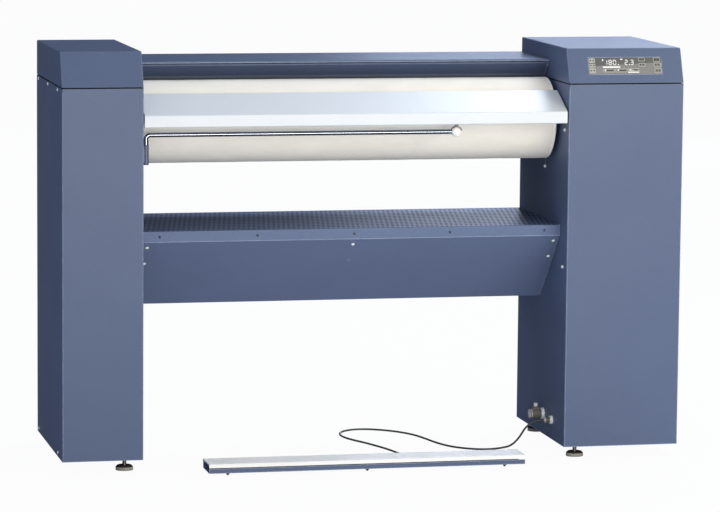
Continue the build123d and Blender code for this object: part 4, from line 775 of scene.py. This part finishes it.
# A digit's strokes, each a bar with pointed ends between two of its six places, or a point's
# one small square.
def digitBars(sign, x, values):
    width, height = values["digitSize"]
    half, gap, foot = values["stroke"] / 2, values["strokeGap"], values["digitFoot"]
    if sign == ".":
        return [box(x, foot, x + values["pointSize"], foot + values["pointSize"])]
    l, r, b, t = x + half, x + width - half, foot + half, foot + height - half
    m = (b + t) / 2
    ends = {"a": (l, t, r, t), "b": (r, m, r, t), "c": (r, b, r, m), "d": (l, b, r, b),
            "e": (l, b, l, m), "f": (l, m, l, t), "g": (l, m, r, m)}
    bars = []
    for name in segmentsOf[sign]:
        start, end = np.array(ends[name][:2]), np.array(ends[name][2:])
        along = (end - start) / np.linalg.norm(end - start)
        side = np.array([-along[1], along[0]]) * half
        start, end = start + along * gap, end - along * gap
        bars.append(np.array([start, start + along * half + side, end - along * half + side,
                              end, end - along * half - side, start + along * half - side]))
    return bars


# Corner points of a rounded box, anticlockwise.
def roundedBox(x0, y0, x1, y1, radius, steps):
    turn = np.linspace(0, np.pi / 2, steps)
    middles = np.array([(x1 - radius, y1 - radius), (x0 + radius, y1 - radius),
                        (x0 + radius, y0 + radius), (x1 - radius, y0 + radius)])
    angles = turn[None, :] + np.arange(4)[:, None] * np.pi / 2
    ring = middles[:, None, :] + radius * np.stack([np.cos(angles), np.sin(angles)], axis=-1)
    return ring.reshape(-1, 2)


# Places flat outlines on the glass: its middle, x along it to the right, y up it, and a little
# off it. Each outline is one face, and each frame a band of quads between its two loops.
def makeMarks(name, values, outlines, frames, material, slot):
    points, faces = [], []
    for outline in outlines:
        faces.append(tuple(range(len(points), len(points) + len(outline))))
        points.extend(outline)
    for outer, inner in frames:
        count, first = len(outer), len(points)
        points.extend(outer)
        points.extend(inner)
        step = (np.arange(count) + 1) % count
        faces.extend(zip(first + np.arange(count), first + step, first + count + step,
                         first + count + np.arange(count)))
    flat = np.array(points) / 1000
    middle, up, out = (np.array(values[key]) for key in ("middle", "up", "out"))
    place = middle + np.outer(flat[:, 0], (1.0, 0.0, 0.0)) + np.outer(flat[:, 1], up)
    place = place + out * values["lift"] / 1000
    mesh = bpy.data.meshes.new(name)
    mesh.from_pydata(place, [], [tuple(int(corner) for corner in face) for face in faces])
    mesh.update()
    piece = addPiece(name, mesh, "machine", slot, material, smooth=False)
    wall = piece.modifiers.new("wall", "SOLIDIFY")
    wall.thickness = values["thickness"] / 1000
    wall.offset = -1.0
    return piece


def makeDisplay(values):
    white = makeVariant("markWhite", "white_plastic", values["white"])
    pale = makeVariant("markPale", "white_plastic", values["pale"])
    dark = makeVariant("markDark", "dark_plastic", values["dark"])
    digits = [bar for sign, x in values["digits"] for bar in digitBars(sign, x, values)]
    bars = [box(*corners) for corners in values["bars"]]
    makeMarks("displayDigits", values, digits + bars, [], white, "white_plastic")

    line, corner, steps = values["line"], values["corner"], values["cornerSteps"]
    rings = []
    for x0, y0, x1, y1 in values["barFrames"] + values["discFrames"]:
        inner = (x0 + line, y0 + line, x1 - line, y1 - line)
        rings.append((roundedBox(x0, y0, x1, y1, corner, steps),
                      roundedBox(*inner, corner - line, steps)))
    plates = [roundedBox(*corners, corner, steps) for corners in values["plates"]]
    makeMarks("keyFrames", values, plates, rings, pale, "white_plastic")

    disc, inset, signs = values["disc"], values["barInset"], []
    angle = np.linspace(0, 2 * np.pi, disc["around"], endpoint=False)
    circle = disc["radius"] * np.column_stack([np.cos(angle), np.sin(angle)])
    for x0, y0, x1, y1 in values["plates"] + values["discFrames"]:
        for side in (-1, 1):
            middle = ((x0 + x1) / 2 + side * disc["apart"], (y0 + y1) / 2 + disc["rise"])
            signs.append(circle + middle)
    for x0, y0, x1, y1 in values["barFrames"]:
        signs.append(box(x0 + inset["left"], y0 + inset["ends"],
                         x1 - inset["right"], y1 - inset["ends"]))
    raised = dict(values, lift=values["signLift"])
    makeMarks("keySigns", raised, signs, [], dark, "dark_plastic")


makeDisplay(markValues)
print("display done")


# domed screws with a hexagonal hollow, in place of the CAD's plain heads

screwValues = {
    # painted highlight: the panel screws are white, not metal, to stand in for their glints
    "glintWhite": {"colour": (0.90, 0.92, 0.95), "drift": (0.84, 0.86, 0.89), "metallic": 0.0,
             "specular": 0.7, "roughness": 0.22},
    "panel": {"radius": 0.0044, "height": 0.0024, "hollow": 0.0014},
    "lip": {"radius": 0.0034, "height": 0.0018, "hollow": 0.0010},
    "around": 24,
    "domeSteps": 6,
    "domeStart": 0.25,  # share of a quarter turn that the hollow takes off the dome
    "floorShare": 0.45,  # of the head's height
    "rimShare": 0.95,
    "rimFlare": 1.08,  # of the hollow's radius
    "hexagonShare": 0.9,
    "sink": 0.0004,
    "outerRise": 1.0,  # how proud the heads stand, times their height
    "innerRise": 2.0,
    "rearRise": 0.5,
    "slopeRise": 1.0,
    "lipRise": 1.0,
    "outerSpots": [(-0.111, 0.929), (0.063, 0.929), (0.239, 0.929), (-0.109, 0.041), (0.244, 0.041)],
    "innerSpots": [(-0.153, 0.821), (0.026, 0.713), (-0.151, 0.479)],
    "outerWalls": [(-0.776, -1.0), (0.776, 1.0)],  # X of the wall and the way its screws face
    "innerWalls": [(-0.578, 1.0), (0.482, -1.0)],
    "rearX": [-0.753, -0.601, 0.505, 0.753],
    "rearZ": [0.060, 0.908],
    "rearY": 0.2715,
    "slopeSpots": [(-0.5565, 0), (-0.5565, 1), (-0.043, 0), (0.4695, 0), (0.4695, 1)],
    "slopeRows": [(-0.1045, 0.5393), (-0.0588, 0.4945)],
    "slopeFace": (0.0, -0.700, -0.714),
    "lipX": [-0.5276, -0.2853, -0.0430, 0.1993, 0.4416],
    "lipY": -0.121, "lipZ": 0.5675,
}


# One head is a profile turned round Z, a grid of points: the hollow's floor, its wall, the
# rim, the dome, the foot and back under. The hollow's rows are hexagons.
def screwHead(values, size):
    radius, height, hollow = size["radius"], size["height"], size["hollow"]
    turn = np.linspace(values["domeStart"], 1.0, values["domeSteps"]) * np.pi / 2
    inner = [0.0, hollow, hollow * values["rimFlare"]]
    floor = height * values["floorShare"]
    rs = np.concatenate([inner, radius * np.sin(turn), [radius, 0.0]])
    hs = np.concatenate([[floor, floor, height * values["rimShare"]], height * np.cos(turn),
                         [-values["sink"], -values["sink"]]])
    angle = np.linspace(0, 2 * np.pi, values["around"], endpoint=False)
    hexagon = values["hexagonShare"] / np.cos((angle % (np.pi / 3)) - np.pi / 6)
    isInner = np.arange(len(rs))[:, None] < len(inner)
    ring = rs[:, None] * np.where(isInner, hexagon[None, :], 1.0)
    heights = np.repeat(hs[:, None], len(angle), axis=1)
    return np.stack([ring * np.cos(angle), ring * np.sin(angle), heights], axis=-1)


# The head is copied to each place, which is a spot, the way it faces and a rise. A point is the
# spot, plus the head's x and y across that way, plus its height times the rise along it.
def makeScrews(name, head, places, replaced, slot, material=None):
    spots, faces, rises = (np.array(column)[:, None, None] for column in zip(*places))
    sideways = np.abs(faces[..., :1]) > 0.9
    first = np.cross(faces, np.where(sideways, (0.0, 1.0, 0.0), (1.0, 0.0, 0.0)))
    first = first / np.linalg.norm(first, axis=-1, keepdims=True)
    second = np.cross(faces, first)
    x, y, height = (head[None, ..., axis, None] for axis in range(3))
    heads = spots + x * first + y * second + height * rises[..., None] * faces
    piece = addPiece(name, weldedMesh(name, heads), "machine", slot, material)
    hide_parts(replaced)
    return piece


def makeAllScrews(values):
    places = []
    for side in ("outer", "inner"):
        for x, way in values[side + "Walls"]:
            for y, z in values[side + "Spots"]:
                places.append(((x, y, z), (way, 0.0, 0.0), values[side + "Rise"]))
    for x in values["rearX"]:
        for z in values["rearZ"]:
            places.append(((x, values["rearY"], z), (0.0, 1.0, 0.0), values["rearRise"]))
    for x, row in values["slopeSpots"]:
        spot = (x, *values["slopeRows"][row])
        places.append((spot, values["slopeFace"], values["slopeRise"]))
    glintWhite = makeVariant("screwGlintWhite", "steel", values["glintWhite"])
    head = screwHead(values, values["panel"])
    makeScrews("panelScrews", head, places, "panel_screws", "steel", glintWhite)

    lips = [((x, values["lipY"], values["lipZ"]), (0.0, -1.0, 0.0), values["lipRise"])
            for x in values["lipX"]]
    makeScrews("lipScrews", screwHead(values, values["lip"]), lips, "lip_screws", "dark_steel")


makeAllScrews(screwValues)
print("screws done")


# floor and light

stageValues = {
    "floorHalf": 40.0,
    "floorColour": (0.60, 0.64, 0.70, 1.0),
    "floorRoughness": 0.9,
    "floorSpecular": 0.1,
    "whiteShare": 0.96,  # of the background in the floor, for what the camera sees
    "glossLevel": 0.045,  # brightness of the background in glossy rays
    "worldColour": (0.92, 0.97, 1.0, 1.0),
    "worldStrength": 0.52,
    "lamps": {
        "keyLamp": {"place": (1.9, -2.5, 1.75), "aim": (0.2, 0.0, 0.7), "size": (1.2, 1.2),
                    "watts": 29.0, "colour": (1.0, 0.95, 0.72)},
        "frontCard": {"place": (0.4, -4.2, 0.90), "aim": (0.2, 0.0, 0.7), "size": (2.6, 0.9),
                      "watts": 79.0, "colour": (1.0, 0.94, 0.86)},
        "topLamp": {"place": (2.0, 2.0, 3.7), "aim": (0.4, 0.0, 0.8), "size": (1.6, 1.6),
                    "watts": 108.0, "colour": (0.74, 0.83, 1.0)},
        "rearCard": {"place": (3.6, 8.0, 1.9), "aim": (0.4, 0.0, 1.0), "size": (3.6, 2.4),
                     "watts": 98.0, "colour": (0.69, 0.78, 1.0)},
        "edgeStrip": {"place": (-5.0, -0.5, 1.4), "aim": (-0.7, 0.0, 0.6), "size": (0.5, 2.4),
                      "watts": 22.0, "colour": (0.74, 0.77, 1.0)},
    },
}


# How much of the white background a ray takes, and how bright it is there: full brightness for
# rays from the camera and through glass, dimmed for glossy ones, and no share of it for the
# rays that light the object.
def backgroundRays(tree, whiteShare, glossLevel):
    path = addNode(tree, "ShaderNodeLightPath").outputs
    glossy = path["Is Glossy Ray"]
    seen = mathNode(tree, "MAXIMUM", path["Is Camera Ray"], path["Is Transmission Ray"])
    share = mathNode(tree, "MAXIMUM", mathNode(tree, "MULTIPLY", seen, whiteShare), glossy)
    dimmed = mathNode(tree, "MULTIPLY", glossy, glossLevel)
    return share, mathNode(tree, "MAXIMUM", seen, dimmed)


def makeStage(values):
    half = values["floorHalf"]
    corners = [(-half, -half, 0), (half, -half, 0), (half, half, 0), (-half, half, 0)]
    mesh = bpy.data.meshes.new("studioFloor")
    mesh.from_pydata(corners, [], [(0, 1, 2, 3)])
    floor = bpy.data.objects.new("studioFloor", mesh)
    scene.collection.objects.link(floor)
    material = bpy.data.materials.new("studioFloor")
    material.use_nodes = True
    tree = material.node_tree
    shader = tree.nodes["Principled BSDF"]
    shader.inputs["Base Color"].default_value = values["floorColour"]
    shader.inputs["Roughness"].default_value = values["floorRoughness"]
    shader.inputs["Specular IOR Level"].default_value = values["floorSpecular"]
    share, strength = backgroundRays(tree, values["whiteShare"], values["glossLevel"])
    glow = addNode(tree, "ShaderNodeEmission", {"Strength": strength}).outputs[0]
    mix = addNode(tree, "ShaderNodeMixShader", {0: share, 1: shader.outputs[0], 2: glow})
    tree.links.new(mix.outputs[0], tree.nodes["Material Output"].inputs["Surface"])
    mesh.materials.append(material)

    world = bpy.data.worlds.new("studioWorld")
    scene.world = world
    world.use_nodes = True
    tree = world.node_tree
    soft = tree.nodes["Background"]
    soft.inputs["Color"].default_value = values["worldColour"]
    soft.inputs["Strength"].default_value = values["worldStrength"]
    share, strength = backgroundRays(tree, 1.0, values["glossLevel"])
    given = {"Color": (1.0, 1.0, 1.0, 1.0), "Strength": strength}
    white = addNode(tree, "ShaderNodeBackground", given).outputs[0]
    mix = addNode(tree, "ShaderNodeMixShader", {0: share, 1: soft.outputs[0], 2: white})
    tree.links.new(mix.outputs[0], tree.nodes["World Output"].inputs["Surface"])

    for name, lamp in values["lamps"].items():
        data = bpy.data.lights.new(name, "AREA")
        data.shape = "RECTANGLE"
        data.size, data.size_y = lamp["size"]
        data.energy = lamp["watts"]
        data.color = lamp["colour"]
        light = bpy.data.objects.new(name, data)
        scene.collection.objects.link(light)
        light.location = lamp["place"]
        away = Vector(lamp["aim"]) - Vector(lamp["place"])
        light.rotation_euler = away.to_track_quat("-Z", "Y").to_euler()
        light.visible_camera = False


makeStage(stageValues)
print("stage done")
